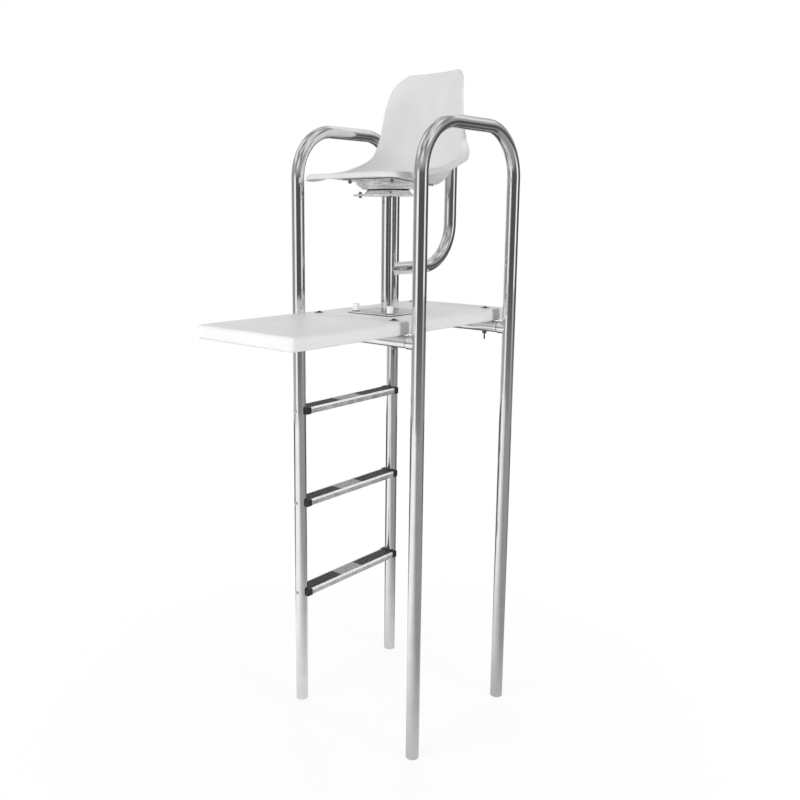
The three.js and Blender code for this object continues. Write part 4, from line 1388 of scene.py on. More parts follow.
class CHAIR_OT_swivel(bpy.types.Operator):
    """Build the swivel: the plate on the post, both pressed halves, the balls and the bolts."""

    bl_idname = "lifeguard_chair.swivel"
    bl_label = "Swivel"

    def execute(self, context):
        low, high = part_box("post_top_plate")
        size = high.x - low.x
        outline = rounded_rectangle(size, size, 9 * MM, 8)
        shape = Shape()
        prism(shape, outline, high.z - TOP_PLATE_THICKNESS, high.z, 0.8 * MM, 2, at(POST.x, POST.y))
        under = high.z - TOP_PLATE_THICKNESS
        stations = [(Vector((POST.x, POST.y, z)), Vector((0, 0, 1))) for z in (low.z, under)]
        tube(shape, stations, Vector((1, 0, 0)), 18.3 * MM, 3 * MM, 48)
        piece = finished(shape, "post_top_plate_sheet", [zinc_plate_and_painted_highlight()])
        settle(piece, STAND, "steel_plate", "post_top_plate")

        low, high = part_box("swivel_lower_plate")
        tall = (high.z - low.z) / MM
        shape = Shape()
        prism(shape, outline, low.z, low.z + 2 * MM, 0.6 * MM, 2, at(POST.x, POST.y))
        drum = [
            (0, tall),
            (70, tall, 3),
            (73.5, tall - 5, 5),
            (79, 2.6, 4),
            (82, 1.9),
            (82, 1),
            (76, 1),
            (68, tall - 2),
            (0, tall - 2),
        ]
        turned(shape, scaled(softened(drum, steps=6)), 96, at(POST.x, POST.y, low.z))
        piece = finished(shape, "swivel_drum", [zinc_plate_and_painted_highlight()])
        settle(piece, STAND, "steel_plate", "swivel_lower_plate")

        low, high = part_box("swivel_ball_ring")
        tall = (high.z - low.z) / MM
        outer = (high.x - low.x) / 2 / MM
        cage = [
            (outer - 12, 0.4, 0.3),
            (outer - 1.2, 0.4, 0.3),
            (outer - 0.6, tall / 2, 0.8),
            (outer - 1.2, tall - 0.4, 0.3),
            (outer - 12, tall - 0.4, 0.3),
        ]
        shape = Shape()
        profile = scaled(softened(cage, closed=True, steps=2))
        turned(shape, profile, 96, at(POST.x, POST.y, low.z))
        piece = finished(shape, "ball_cage", [black_nylon()])
        settle(piece, STAND, "black_plastic", "swivel_ball_ring")
        piece = grown(
            "swivel_balls",
            balls_tree(),
            [Vector((POST.x, POST.y, (low.z + high.z) / 2))],
            Ring_radius=(outer - 1.9) * MM,
            Ball_radius=tall / 2 * MM,
            Number=chair().seat.balls,
            Finish=bearing_steel(),
        )
        settle(piece, STAND, "fastener")

        tilt = math.tan(chair().seat.tilt)
        floor_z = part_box("swivel_upper_plate")[0].z
        bowl = [
            (0, 0),
            (83, 0, 2),
            (87.5, 1.2, 2),
            (88, 4.4, 0.6),
            (86.2, 4.7, 0.4),
            (86.2, 6.0, 0.4),
            (89.5, 6.4, 1),
            (96.5, 9.5, 8),
            (103, 15, 6),
            (104, 32),
            (102, 32),
            (101, 16, 6),
            (94.5, 11.5, 8),
            (84.5, 8, 2),
            (84.2, 5, 1),
            (83, 2, 1),
            (0, 2),
        ]
        shape = Shape()
        turned(shape, scaled(softened(bowl, steps=4)), 96)
        for point in shape.points:
            top = DISH_DEPTH - 1.2 * MM - point.y * tilt
            point.z = min(point.z, top)
            point += Vector((POST.x, POST.y, floor_z))
        leaning = lean()
        outline = rounded_rectangle(SEAT_PLATE_SIZE, SEAT_PLATE_SIZE, 12 * MM, 10)
        prism(shape, outline, -2.5 * MM, 0, 0.7 * MM, 3, leaning)
        # painted shade: a near black band round the seat plate's edge, for the shade under the seat
        band(shape, outline, -2.2 * MM, -0.1 * MM, leaning, 1)
        piece = finished(shape, "swivel_dish", [zinc_plate_and_painted_highlight(), black_oxide_and_painted_shade()])
        settle(piece, SWIVEL, "steel_plate", "swivel_upper_plate")

        bolts = nodes_like("swivel_bolt_")
        low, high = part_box(bolts[0])
        seat = high.z - 8.5 * MM
        bolt = Shape()
        ring = [(3, 0), (6.4, 0, 0.3), (6.4, 1.1, 0.3), (3, 1.1)]
        turned(bolt, scaled(softened(ring, closed=True, steps=2)), 36)
        prism(bolt, hexagon(9.8 * MM), 1 * MM, high.z - seat - 1 * MM, 0.7 * MM, 2)
        nut_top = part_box("post_top_plate")[1].z - TOP_PLATE_THICKNESS - REST_GAP - seat
        prism(bolt, hexagon(9.8 * MM), nut_top - 4 * MM, nut_top, 0.6 * MM, 2)
        ends = thread(4 * MM, 1.25 * MM, low.z - seat, nut_top - 4 * MM)
        turned(bolt, [(0, low.z - seat)] + ends + [(4 * MM, 1 * MM), (0, 1 * MM)], 28)
        places = [Vector((middle(n).x, middle(n).y, seat)) for n in bolts]
        turns = [(0, 0, 0.15 + 0.71 * i) for i in range(len(places))]
        piece = copies("swivel_bolts", bolt, places, fastener_steel(), turns=turns)
        settle(piece, STAND, "fastener", *bolts)

        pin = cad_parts["swivel_centre_pin"]
        pin.data.materials.clear()
        pin.data.materials.append(fastener_steel())
        return {"FINISHED"}


# Sections of the shell from the front lip to the top of the back, in the leaning frame. Shares of
# the seat's depth, height and half width: centre y, centre z, fold y, fold z, half width, then the
# share of the half width over which the section stays flat, and that of the rim's skirt.
SECTION_SHARES = (
    (-0.522, 0.0, -0.482, 0.001, 1.0, 0.56, 0.42),
    (-0.375, 0.0, -0.335, 0.016, 1.0, 0.56, 0.5),
    (-0.2, 0.0, -0.188, 0.051, 1.0, 0.56, 0.62),
    (0.0, 0.0, 0.03, 0.103, 0.99, 0.56, 0.72),
    (0.15, 0.0, 0.16, 0.154, 0.973, 0.56, 0.9),
    (0.265, 0.0, 0.268, 0.208, 0.943, 0.52, 0.95),
    (0.385, 0.083, 0.335, 0.285, 0.903, 0.1, 0.75),
    (0.455, 0.21, 0.358, 0.381, 0.863, 0.0, 0.38),
    (0.48, 0.373, 0.37, 0.493, 0.831, 0.0, 0.12),
    (0.485, 0.547, 0.376, 0.608, 0.804, 0.0, 0.04),
    (0.49, 0.707, 0.382, 0.725, 0.769, 0.0, 0.04),
    (0.5, 0.859, 0.41, 0.868, 0.714, 0.0, 0.04),
    (0.523, 1.008, 0.468, 1.008, 0.632, 0.0, 0.04),
)
FLAT_COLUMN, SKIRT_COLUMN = 5, 6
FRONT_CORNER_SHARE = 0.3
TOP_CORNER_SHARE = 0.27
SECTION_CURVE_POWER = 2.2


def curve_point(points, position):
    """A point at a position from 0 to 1 on the centripetal Catmull-Rom curve through the points."""
    scaled_at = position * (len(points) - 1)
    low = min(int(scaled_at), len(points) - 2)
    share_at = scaled_at - low
    first = points[low - 1] if low > 0 else points[0] * 2 - points[1]
    last = points[low + 2] if low + 2 < len(points) else points[-1] * 2 - points[-2]
    here, there = points[low], points[low + 1]
    spans = [max(1e-4, math.sqrt((b - a).length)) for a, b in ((first, here), (here, there), (there, last))]
    start = ((here - first) / spans[0] - (there - first) / (spans[0] + spans[1]) + (there - here) / spans[1])
    end = ((there - here) / spans[1] - (last - here) / (spans[1] + spans[2]) + (last - there) / spans[2])
    start, end = start * spans[1], end * spans[1]
    square, cube = share_at**2, share_at**3
    return (
        here
        + start * share_at
        + (-3 * here + 3 * there - 2 * start - end) * square
        + (2 * here - 2 * there + start + end) * cube
    )


def section_share(position, column):
    """A column of the sections' table at a position from 0 to 1."""
    scaled_at = position * (len(SECTION_SHARES) - 1)
    low = min(int(scaled_at), len(SECTION_SHARES) - 2)
    here, there = SECTION_SHARES[low][column], SECTION_SHARES[low + 1][column]
    return here + (there - here) * (scaled_at - low)


def shell_points(columns, per_section, corner_rows):
    """Rows of points over the shell's upper face, drawn in over its rounded corners, each row with
    the depth of its rim's skirt."""
    settings = chair().seat
    pan_top = REST_GAP + settings.thickness
    centres = [
        Vector((0, s[0] * settings.depth, pan_top + s[1] * settings.height)) for s in SECTION_SHARES
    ]
    folds = [
        Vector((s[4] * settings.width / 2, s[2] * settings.depth, pan_top + s[3] * settings.height))
        for s in SECTION_SHARES
    ]
    spans = len(SECTION_SHARES) - 1

    def row(position, drawn):
        centre = curve_point(centres, position)
        centre.z = max(centre.z, pan_top)
        fold = curve_point(folds, position)
        flat = section_share(position, FLAT_COLUMN)
        made = []
        for i in range(columns + 1):
            x = (2 * i / columns - 1) * (fold.x - drawn)
            reach = abs(x) / fold.x
            rise = max(0.0, (reach - flat) / (1 - flat)) ** SECTION_CURVE_POWER
            point = centre.lerp(fold, rise)
            made.append(Vector((x, point.y, point.z)))
        return made, settings.rim_skirt * section_share(position, SKIRT_COLUMN)

    def corner(k, corner_share, at_front):
        angle = k / corner_rows * math.pi / 2
        along = (1 - math.cos(angle)) / spans
        position = along if at_front else 1 - along
        radius = corner_share * curve_point(folds, position).x
        return row(position, radius * (1 - math.sin(angle)))

    rows = [corner(k, FRONT_CORNER_SHARE, True) for k in range(corner_rows)]
    steps = (spans - 2) * per_section
    rows += [row((1 + k / per_section) / spans, 0) for k in range(steps + 1)]
    rows += [corner(k, TOP_CORNER_SHARE, False) for k in range(corner_rows - 1, -1, -1)]
    return rows


def point_normals(points, faces):
    """Area-weighted normals of the points, as an array."""
    normals = np.zeros((len(points), 3))
    places = np.array(points)
    quads = np.array(faces)
    across = np.cross(places[quads[:, 2]] - places[quads[:, 0]], places[quads[:, 3]] - places[quads[:, 1]])
    for k in range(4):
        np.add.at(normals, quads[:, k], across)
    return normals / np.maximum(np.linalg.norm(normals, axis=1), 1e-12)[:, None]


class CHAIR_OT_seat(bpy.types.Operator):
    """Build the bucket shell with its turned-down rim, and the screws that hold it."""

    bl_idname = "lifeguard_chair.seat"
    bl_label = "Seat"

    def execute(self, context):
        settings = chair().seat
        columns, per_section, corner_rows, rim_rows = 48, 7, 12, 8
        sections = shell_points(columns, per_section, corner_rows)
        rows = [row for row, _ in sections]
        width = columns + 1
        points = [tuple(p) for row in rows for p in row]
        faces = []
        for j in range(len(rows) - 1):
            for i in range(columns):
                k = j * width + i
                faces.append([k, k + 1, k + width + 1, k + width])
        last = (len(rows) - 1) * width
        loop = list(range(columns))
        loop += [j * width + columns for j in range(len(rows) - 1)]
        loop += [last + i for i in range(columns, 0, -1)]
        loop += [j * width for j in range(len(rows) - 1, 0, -1)]
        normals = point_normals(points, faces)
        size = len(loop)
        edge = []
        for k, index in enumerate(loop):
            tangent = Vector(points[loop[(k + 1) % size]]) - Vector(points[loop[k - 1]])
            normal = Vector(normals[index])
            outward = tangent.normalized().cross(normal).normalized()
            edge.append((Vector(points[index]), outward, normal, sections[index // width][1]))
        # the outward directions are evened out along the rim, so that it turns the corners smoothly
        for _ in range(6):
            edge = [
                (p, (edge[k - 1][1] + o * 2 + edge[(k + 1) % size][1]).normalized(), n, s)
                for k, (p, o, n, s) in enumerate(edge)
            ]
        bend = settings.rim_radius
        for k in range(1, rim_rows + 3):
            turn = min(k, rim_rows) / rim_rows * settings.rim_turn
            ring = []
            for start, outward, normal, skirt in edge:
                straight = skirt * max(0, k - rim_rows) / 2
                out = bend * math.sin(turn) + straight * math.cos(turn)
                down = bend * (1 - math.cos(turn)) + straight * math.sin(turn)
                points.append(tuple(start + outward * out - normal * down))
                ring.append(len(points) - 1)
            for i in range(size):
                j = (i + 1) % size
                faces.append([loop[i], ring[i], ring[j], loop[j]])
            loop = ring
        outer_normals = point_normals(points, faces)
        total = len(points)
        under = [
            tuple(Vector(p) - Vector(n) * settings.thickness) for p, n in zip(points, outer_normals)
        ]
        all_points = points + under
        all_faces = faces + [[a + total, d + total, c + total, b + total] for a, b, c, d in faces]
        # the lip is closed with a small bulge, so that its edge is round
        previous = loop
        bulge = 0.9 * MM
        for k in range(1, 4):
            angle = math.pi * k / 4
            ring = []
            for i, index in enumerate(loop):
                top, low = Vector(points[index]), Vector(under[index])
                on = Vector(points[index]) - Vector(points[index - size])
                mid = top.lerp(low, (1 - math.cos(angle)) / 2)
                all_points.append(tuple(mid + on.normalized() * (bulge * math.sin(angle))))
                ring.append(len(all_points) - 1)
            for i in range(size):
                j = (i + 1) % size
                all_faces.append([previous[i], ring[i], ring[j], previous[j]])
            previous = ring
        for i in range(size):
            j = (i + 1) % size
            all_faces.append([previous[i], loop[i] + total, loop[j] + total, previous[j]])
        leaning = lean()
        shape = Shape()
        shape.add([leaning @ Vector(p) for p in all_points], all_faces)
        piece = finished(shape, "seat_bucket_shell", [moulded_shell()], 50)
        settle(piece, SWIVEL, "white_shell", "seat_shell")

        screws = nodes_like("seat_screw_")
        pan = settings.thickness + 2 * REST_GAP
        inverse = leaning.inverted()
        places = []
        for name in screws:
            local = inverse @ middle(name)
            places.append(leaning @ Vector((local.x, local.y, pan)))
        screw = Shape()
        head = [(0, 0), (8, 0, 0.3), (7.8, 1.6, 0.8), (4, 3, 1), (2.6, 3), (2.4, 1.4), (0, 1.4)]
        turned(screw, scaled(softened(head, steps=3)), 36)
        nut_top = -pan - 2.5 * MM - REST_GAP
        prism(screw, hexagon(13 * MM), nut_top - 6.5 * MM, nut_top, 0.7 * MM, 2)
        ends = thread(4 * MM, 1.25 * MM, nut_top - 9.5 * MM, nut_top - 6.5 * MM)
        turned(screw, [(0, nut_top - 9.5 * MM)] + ends + [(4 * MM, 0), (0, 0)], 28)
        turns = [(-settings.tilt, 0, 0)] * len(places)
        piece = copies("seat_screws", screw, places, fastener_steel(), turns=turns)
        settle(piece, SWIVEL, "fastener", *screws)
        return {"FINISHED"}


class CHAIR_OT_treads(bpy.types.Operator):
    """Build the three treads with their ribbed inserts."""

    bl_idname = "lifeguard_chair.treads"
    bl_label = "Treads"

    def execute(self, context):
        settings = chair().treads
        metal, insert = Shape(), Shape()
        names = nodes_like("top_tread", "middle_tread", "bottom_tread")
        plain = [n for n in names if n.endswith("_tread")]
        rests = []
        for name in plain:
            low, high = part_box(name)
            centre = (low + high) / 2
            wide, tall = (high.x - low.x) / MM, (high.z - low.z) / MM
            floor_at = tall / 2 - 1.9
            half = wide / 2
            corners = [
                (-half, tall / 2, 2.5),
                (half, tall / 2, 2.5),
                (half, 5.6 - tall / 2),
                (half, -tall / 2, 5),
                (25.3, -tall / 2, 0.5),
                (25.3, -floor_at, 0.3),
                (-25.3, -floor_at, 0.3),
                (-25.3, -tall / 2, 0.5),
                (-half, -tall / 2, 5),
                (-half, 5.6 - tall / 2),
            ]
            outline = scaled(softened(corners[::-1], closed=True, steps=6))
            place = at(centre.x, 0, centre.z) @ ALONG_Y
            first = len(metal.faces)
            prism(metal, outline, low.y, high.y, 0.3 * MM, 1, place)
            # the rounded upper edges get a paler, matt finish of their own: a painted highlight along them
            for i in range(first, len(metal.faces)):
                spot = sum((metal.points[k] for k in metal.faces[i]), Vector()) / len(metal.faces[i])
                if spot.z > high.z - 5.6 * MM and abs(spot.x - centre.x) > 25.4 * MM:
                    metal.finishes[i] = 1
            low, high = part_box(name + "_insert")
            pad = rounded_rectangle(high.x - low.x, high.y - low.y, 0.5 * MM, 2)
            middle_xy = (low + high) / 2
            base_top = low.z + 0.8 * MM
            prism(insert, pad, low.z, base_top, 0.1 * MM, 1, at(middle_xy.x, middle_xy.y))
            rests.append(Vector((middle_xy.x, middle_xy.y, base_top)))
            rib_height = high.z - base_top
            rib_length = high.y - low.y
            rib_room = high.x - low.x
        piece = finished(metal, "tread_profiles", [tread_metal(), painted_edge_highlight()], 25)
        settle(piece, STAND, "polished_tube", *plain)
        piece = finished(insert, "tread_grips", [grip_rubber()])
        settle(piece, STAND, "tread_insert", *[n + "_insert" for n in plain])

        rib = Shape()
        half = 1.35
        top = rib_height / MM
        corners = [(-half, 0.1), (half, 0.1), (half * 0.8, -top, 0.35), (-half * 0.8, -top, 0.35)]
        outline = scaled(softened(corners[::-1], closed=True, steps=2))
        prism(rib, outline, -rib_length / 2, rib_length / 2, 0.1 * MM, 1, ALONG_Y)
        number = int((rib_room - 2.8 * MM) / settings.rib_spacing) + 1
        pattern = finished(rib, "rib_shape", [grip_rubber()])
        piece = grown(
            "tread_ribs",
            ribs_tree(),
            rests,
            Rib=pattern,
            Number=number,
            Spacing=settings.rib_spacing,
            First=-settings.rib_spacing * (number - 1) / 2,
            Finish=grip_rubber(),
        )
        bpy.data.objects.remove(pattern)
        settle(piece, STAND, "tread_insert")
        return {"FINISHED"}


class CHAIR_OT_tread_ends(bpy.types.Operator):
    """Build the saddle caps at the treads' ends and the bolts through the legs."""

    bl_idname = "lifeguard_chair.tread_ends"
    bl_label = "Tread ends"

    def execute(self, context):
        caps = sorted(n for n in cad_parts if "_tread_end_cap_" in n)
        bolts = sorted(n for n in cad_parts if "_tread_bolt_" in n)
        low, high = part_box("top_tread_end_cap_rear")
        metal_low, metal_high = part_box("top_tread")
        half = (high.x - low.x) / 2 / MM
        inner = (metal_high.y + REST_GAP - REAR_Y) / MM
        saddle = (LEG_RADIUS + REST_GAP) / MM
        corners = [(-half, inner, 1.5), (half, inner, 1.5), (half, 0, 2.5), (saddle + 1, 0, 0.8)]
        outline = softened(corners + [(saddle, -0.8)], steps=4)
        for k in range(1, 24):
            angle = -math.pi * k / 24
            if saddle * math.sin(angle) < -1.6:
                outline.append((saddle * math.cos(angle), saddle * math.sin(angle)))
        outline += softened([(-saddle, -0.8), (-saddle - 1, 0, 0.8), (-half, 0, 2.5), (-half, inner)], steps=4)[:-1]
        tall = high.z - low.z
        cap = Shape()
        prism(cap, scaled(outline), -tall / 2, tall / 2, 1.1 * MM, 3)
        plug = rounded_rectangle(61 * MM, 13 * MM, 1 * MM, 2)
        prism(cap, plug, (inner - 20) * MM, (inner + 2) * MM, 0.4 * MM, 1, ALONG_Y)
        places, turns = [], []
        for name in caps:
            box_low, box_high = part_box(name)
            rear = name.endswith("rear")
            z = (box_low.z + box_high.z) / 2
            places.append(Vector((RIGHT_X, REAR_Y if rear else FRONT_Y, z)))
            turns.append((0, 0, 0 if rear else math.pi))
        piece = copies("tread_end_caps", cap, places, black_nylon(), turns=turns)
        settle(piece, STAND, "black_plastic", *caps)

        bolt = Shape()
        seat = LEG_RADIUS + REST_GAP
        box_low, box_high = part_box("top_tread_bolt_rear")
        reach = (box_high.y - REAR_Y - seat) / MM
        head = [
            (0, 0),
            (6.5, 0, 0.2),
            (6.5, 0.8, 0.4),
            (5.4, reach * 0.72, 1.6),
            (3.4, reach, 0.9),
            (2.3, reach, 0.15),
            (2.1, reach * 0.45),
            (0, reach * 0.45),
        ]
        turned(bolt, scaled(softened(head, steps=4)), 40, at(y=seat) @ ALONG_Y)
        back = (box_low.y - REAR_Y) / MM
        shank = scaled([(0, back), (4, back), (4, seat / MM), (0, seat / MM)])
        turned(bolt, shank, 28, ALONG_Y)
        places = []
        for name in bolts:
            box_low, box_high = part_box(name)
            rear = name.endswith("rear")
            z = (box_low.z + box_high.z) / 2
            places.append(Vector((RIGHT_X, REAR_Y if rear else FRONT_Y, z)))
        turns = [(0, 0, 0 if n.endswith("rear") else math.pi) for n in bolts]
        piece = copies("tread_bolts", bolt, places, polished_stainless(), turns=turns)
        settle(piece, STAND, "fastener", *bolts)
        return {"FINISHED"}


# ---------------------------------------------------------------- stage

# The camera as fitted to the photograph, which is taken to be 800 pixels square
CAMERA_PLACE = Vector((1805.95, -2038.49, 1743.76)) * MM
CAMERA_YAW = math.radians(42.865)
CAMERA_PITCH = math.radians(9.955)
CAMERA_ROLL = math.radians(0.02)
IMAGE_SIZE = 800
FOCAL_PIXELS = 845.82
MIDDLE_PIXEL = (344.18, 364.59)
SENSOR = 36.0
CEILING_LOW = "#A2A2A1"  # where the ceiling of the room meets its walls


def heading(azimuth, elevation):
    """Direction towards an azimuth round the chair, where 0 is the front and 90 its left."""
    a, e = math.radians(azimuth), math.radians(elevation)
    return Vector((math.sin(a) * math.cos(e), -math.cos(a) * math.cos(e), math.sin(e)))


def soft_lamp(name, azimuth, elevation, distance, size, power, aim):
    """A large soft lamp that lights the chair without showing in its polished tubes."""
    data = bpy.data.lights.new(name, "AREA")
    data.shape = "SQUARE"
    data.size = size
    data.energy = power
    lamp = bpy.data.objects.new(name, data)
    lamp.location = aim + heading(azimuth, elevation) * distance
    lamp.rotation_mode = "QUATERNION"
    lamp.rotation_quaternion = heading(azimuth, elevation).to_track_quat("Z", "Y")
    lamp.visible_glossy = False
    bpy.context.scene.collection.objects.link(lamp)
    return lamp


def seen_directly(tree):
    """1 for camera, mirror and glass rays, 0 for the light that reaches surfaces."""
    path = add_node(tree, "ShaderNodeLightPath")
    first = added(
        tree, path.outputs["Is Camera Ray"], path.outputs["Is Glossy Ray"], "MAXIMUM"
    )
    return added(tree, first, path.outputs["Is Transmission Ray"], "MAXIMUM")


class CHAIR_OT_stage(bpy.types.Operator):
    """Set up the floor, the studio light and the camera."""

    bl_idname = "lifeguard_chair.stage"
    bl_label = "Stage"

    def execute(self, context):
        settings = chair().stage
        scene = context.scene
        scene.view_settings.view_transform = "Standard"

        world = bpy.data.worlds.new("Studio")
        scene.world = world
        world.use_nodes = True
        tree = world.node_tree
        tree.nodes.clear()
        even = add_node(
            tree, "ShaderNodeBackground", {"Color": (1, 1, 1, 1), "Strength": settings.ambient}
        )
        white = add_node(tree, "ShaderNodeBackground", {"Color": (1, 1, 1, 1), "Strength": 1.0})
        mix = add_node(
            tree,
            "ShaderNodeMixShader",
            {0: seen_directly(tree), 1: even.outputs[0], 2: white.outputs[0]},
        )
        add_node(tree, "ShaderNodeOutputWorld", {"Surface": mix.outputs[0]})

        floor = Shape()
        radii = (0.0, 1.2, 2.4, 3.6, 4.6)
        turned(floor, [(r, -0.2 * MM) for r in radii], 96)
        floor_piece = finished(floor, "studio_floor", [self.floor_material(settings)])
        for polygon in floor_piece.data.polygons:
            if polygon.normal.z < 0:
                polygon.flip()

        for name, start, end, top, lower, upper in (
            ("dark_card_front", -34, 55, 3.0, "#858584", "#545453"),
            ("dark_card_left", 82, 160, 3.0, "#8B8B8A", "#505050"),
            ("grey_card_right", -130, -68, 3.0, "#B6B6B5", "#949493"),
            ("grey_card_far", 160, 230, 3.0, "#DEDEDD", "#DEDEDD"),
            ("low_card_left", 55, 82, 1.1, "#9E9E9D", "#C0C0BF"),
        ):
            self.card(name, start, end, top, lower, upper)
        self.floor_card()
        self.ceiling_card()

        aim = Vector((0, 0, 1.2))
        soft_lamp("key_lamp", -12, 22, 7, 4, settings.key_power, aim)
        soft_lamp("fill_lamp", 94, 18, 7, 1.1, settings.fill_power, aim)
        soft_lamp("back_lamp", -140, 30, 7, 4, settings.back_power, aim)

        data = bpy.data.cameras.new("camera")
        data.sensor_fit = "HORIZONTAL"
        data.sensor_width = SENSOR
        data.lens = FOCAL_PIXELS / IMAGE_SIZE * SENSOR
        data.shift_x = (IMAGE_SIZE / 2 - MIDDLE_PIXEL[0]) / IMAGE_SIZE
        data.shift_y = (MIDDLE_PIXEL[1] - IMAGE_SIZE / 2) / IMAGE_SIZE
        data.clip_start, data.clip_end = 0.05, 100
        camera = bpy.data.objects.new("camera", data)
        back = Vector(
            (
                math.sin(CAMERA_YAW) * math.cos(CAMERA_PITCH),
                -math.cos(CAMERA_YAW) * math.cos(CAMERA_PITCH),
                math.sin(CAMERA_PITCH),
            )
        )
        right = Vector((math.cos(CAMERA_YAW), math.sin(CAMERA_YAW), 0))
        up = back.cross(right)
        turn = Matrix((right, up, back)).transposed() @ Matrix.Rotation(CAMERA_ROLL, 3, "Z")
        camera.matrix_world = Matrix.Translation(CAMERA_PLACE) @ turn.to_4x4()
        scene.collection.objects.link(camera)
        scene.camera = camera
        return {"FINISHED"}

    def floor_material(self, settings):
        """Pale floor that keeps the chair's soft shadow and fades into the white background."""
        material = new_material("Pale studio floor")
        tree = material.node_tree
        where = add_node(tree, "ShaderNodeTexCoord").outputs["Object"]
        distance = add_node(
            tree, "ShaderNodeVectorMath", {0: where}, operation="LENGTH"
        ).outputs["Value"]
        fade = spread(tree, distance, 0.4, 1.4, 0.9, 1.0)
        direct = added(tree, seen_directly(tree), fade, "MULTIPLY")
        pale = add_node(
            tree, "ShaderNodeBsdfDiffuse", {"Color": (*settings.floor, 1), "Roughness": 0.0}
        )
        white = add_node(tree, "ShaderNodeEmission", {"Color": (1, 1, 1, 1), "Strength": 1.0})
        mix = add_node(
            tree, "ShaderNodeMixShader", {0: direct, 1: pale.outputs[0], 2: white.outputs[0]}
        )
        add_node(tree, "ShaderNodeOutputMaterial", {"Surface": mix.outputs[0]})
        return material

    def card(self, name, start, end, top, lower, upper):
        """A curved card beyond the floor, seen only in the polished tubes. Its ends are given as
        turns from the camera's direction, and its shade changes with height."""
        material = new_material(name.replace("_", " ").capitalize())
        tree = material.node_tree
        where = add_node(tree, "ShaderNodeTexCoord").outputs["Object"]
        height = add_node(tree, "ShaderNodeSeparateXYZ", {"Vector": where}).outputs["Z"]
        shade = mixed(tree, spread(tree, height, 0.1, 1.1, 0, 1), srgb(lower), srgb(upper))
        shade = mixed(tree, spread(tree, height, 2.1, 3.0, 0, 1), shade, srgb(CEILING_LOW))
        glow = add_node(tree, "ShaderNodeEmission", {"Color": shade, "Strength": 1.0})
        add_node(tree, "ShaderNodeOutputMaterial", {"Surface": glow.outputs[0]})
        shape = Shape()
        radius, steps = 4.8, 24
        rings = []
        for z in (-1.0, top):
            ring = []
            for k in range(steps + 1):
                around = math.degrees(CAMERA_YAW) + start + (end - start) * k / steps
                point = heading(around, 0) * radius
                ring.append(Vector((point.x, point.y, z)))
            rings.append(ring)
        shape.rings(rings, closed=False)
        self.show_in_reflections(finished(shape, name, [material]))

    def floor_card(self):
        """A cloth over the floor, seen only in the polished tubes: pale on the camera's left,
        darker on its right and beyond the chair."""
        material = new_material("Shaded floor cloth")
        tree = material.node_tree
        where = add_node(tree, "ShaderNodeTexCoord").outputs["Object"]
        darker = heading(math.degrees(CAMERA_YAW) + 70, 0)
        across = add_node(
            tree, "ShaderNodeVectorMath", {0: where, 1: darker}, operation="DOT_PRODUCT"
        ).outputs["Value"]
        shade = mixed(tree, spread(tree, across, -0.75, 0.85, 0, 1), srgb("#FFFFFF"), srgb("#999998"))
        nearer = heading(math.degrees(CAMERA_YAW), 0)
        along = add_node(
            tree, "ShaderNodeVectorMath", {0: where, 1: nearer}, operation="DOT_PRODUCT"
        ).outputs["Value"]
        shade = mixed(tree, spread(tree, along, -1.1, -0.45, 1, 0), shade, srgb("#585857"))
        glow = add_node(tree, "ShaderNodeEmission", {"Color": shade, "Strength": 1.0})
        add_node(tree, "ShaderNodeOutputMaterial", {"Surface": glow.outputs[0]})
        cloth = Shape()
        turned(cloth, [(r, -0.1 * MM) for r in (0.0, 2.4, 4.6)], 96)
        self.show_in_reflections(finished(cloth, "floor_cloth", [material]))

    def ceiling_card(self):
        """A vault over the chair, seen only in the polished tubes: grey, and paler overhead."""
        material = new_material("Grey ceiling")
        tree = material.node_tree
        where = add_node(tree, "ShaderNodeTexCoord").outputs["Object"]
        height = add_node(tree, "ShaderNodeSeparateXYZ", {"Vector": where}).outputs["Z"]
        wall = mixed(tree, spread(tree, height, 2.1, 3.0, 0, 1), srgb("#FFFFFF"), srgb(CEILING_LOW))
        patches = grain(tree, 1.7, detail=0.5)  # unevenly lit patches, about 1.7 m across
        top = mixed(tree, spread(tree, patches, 0.38, 0.6, 0, 1), srgb("#8E8E8D"), srgb("#EDEDEC"))
        shade = mixed(tree, spread(tree, height, 3.1, 4.2, 0, 1), wall, top)
        glow = add_node(tree, "ShaderNodeEmission", {"Color": shade, "Strength": 1.0})
        add_node(tree, "ShaderNodeOutputMaterial", {"Surface": glow.outputs[0]})
        vault = Shape()
        profile = [(4.85, 2.1), (4.85, 3.05), (4.5, 3.8), (3.6, 4.5), (2.0, 4.9), (0.0, 5.0)]
        shape_sides = 96
        rings = []
        for radius, height in profile:
            rings.append([Vector((x, y, height)) for x, y in circle(radius, shape_sides)])
        vault.rings(rings)
        self.show_in_reflections(finished(vault, "grey_ceiling", [material]))

    def show_in_reflections(self, piece):
        """Hides a piece of the stage from all but the polished surfaces."""
        piece.visible_camera = False
        piece.visible_diffuse = False
        piece.visible_shadow = False
        piece.visible_transmission = False


class CHAIR_PT_panel(bpy.types.Panel):
    """Lists the chair's settings and the operators that build it"""

    bl_label = "Lifeguard chair"
    bl_idname = "CHAIR_PT_panel"
    bl_space_type = "VIEW_3D"
    bl_region_type = "UI"
    bl_category = "Chair"

    def draw(self, context):
        settings = context.scene.lifeguard_chair
        groups = (
            ("Tubes", settings.tubes),
            ("Platform", settings.platform),
            ("Seat", settings.seat),
            ("Treads", settings.treads),
            ("Stage", settings.stage),
        )
        for label, group in groups:
            box = self.layout.box()
            box.label(text=label)
            for key in group.__annotations__:
                box.prop(group, key)
        for operator in OPERATORS:
            self.layout.operator(operator.bl_idname)


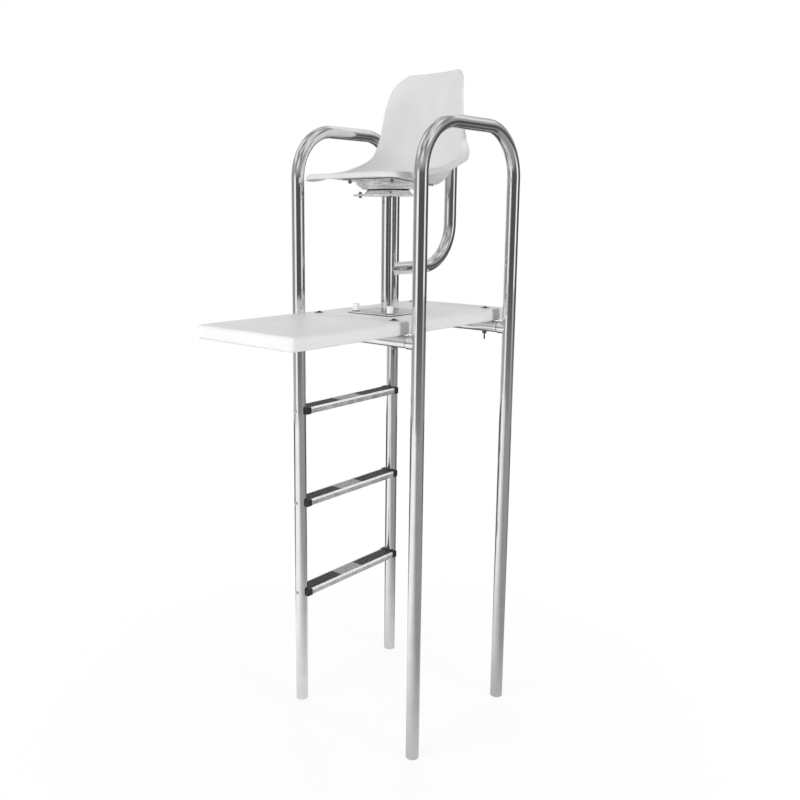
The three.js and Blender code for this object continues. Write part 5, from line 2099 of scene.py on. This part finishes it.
SETTINGS = (
    ChairTubeSettings,
    ChairPlatformSettings,
    ChairSeatSettings,
    ChairTreadSettings,
    ChairStageSettings,
    ChairSettings,
)
OPERATORS = (
    CHAIR_OT_side_frames,
    CHAIR_OT_cross_tubes,
    CHAIR_OT_platform,
    CHAIR_OT_platform_fasteners,
    CHAIR_OT_post,
    CHAIR_OT_holder,
    CHAIR_OT_swivel,
    CHAIR_OT_seat,
    CHAIR_OT_treads,
    CHAIR_OT_tread_ends,
    CHAIR_OT_stage,
)
CLASSES = (*SETTINGS, *OPERATORS, CHAIR_PT_panel)


def register():
    for item in CLASSES:
        bpy.utils.register_class(item)
    bpy.types.Scene.lifeguard_chair = bpy.props.PointerProperty(type=ChairSettings)


def unregister():
    del bpy.types.Scene.lifeguard_chair
    for item in reversed(CLASSES):
        bpy.utils.unregister_class(item)


def main():
    register()
    build = bpy.ops.lifeguard_chair
    build.side_frames()
    build.cross_tubes()
    build.platform()
    build.platform_fasteners()
    build.post()
    build.holder()
    build.swivel()
    build.seat()
    build.treads()
    build.tread_ends()
    build.stage()


if __name__ == "__main__":
    main()
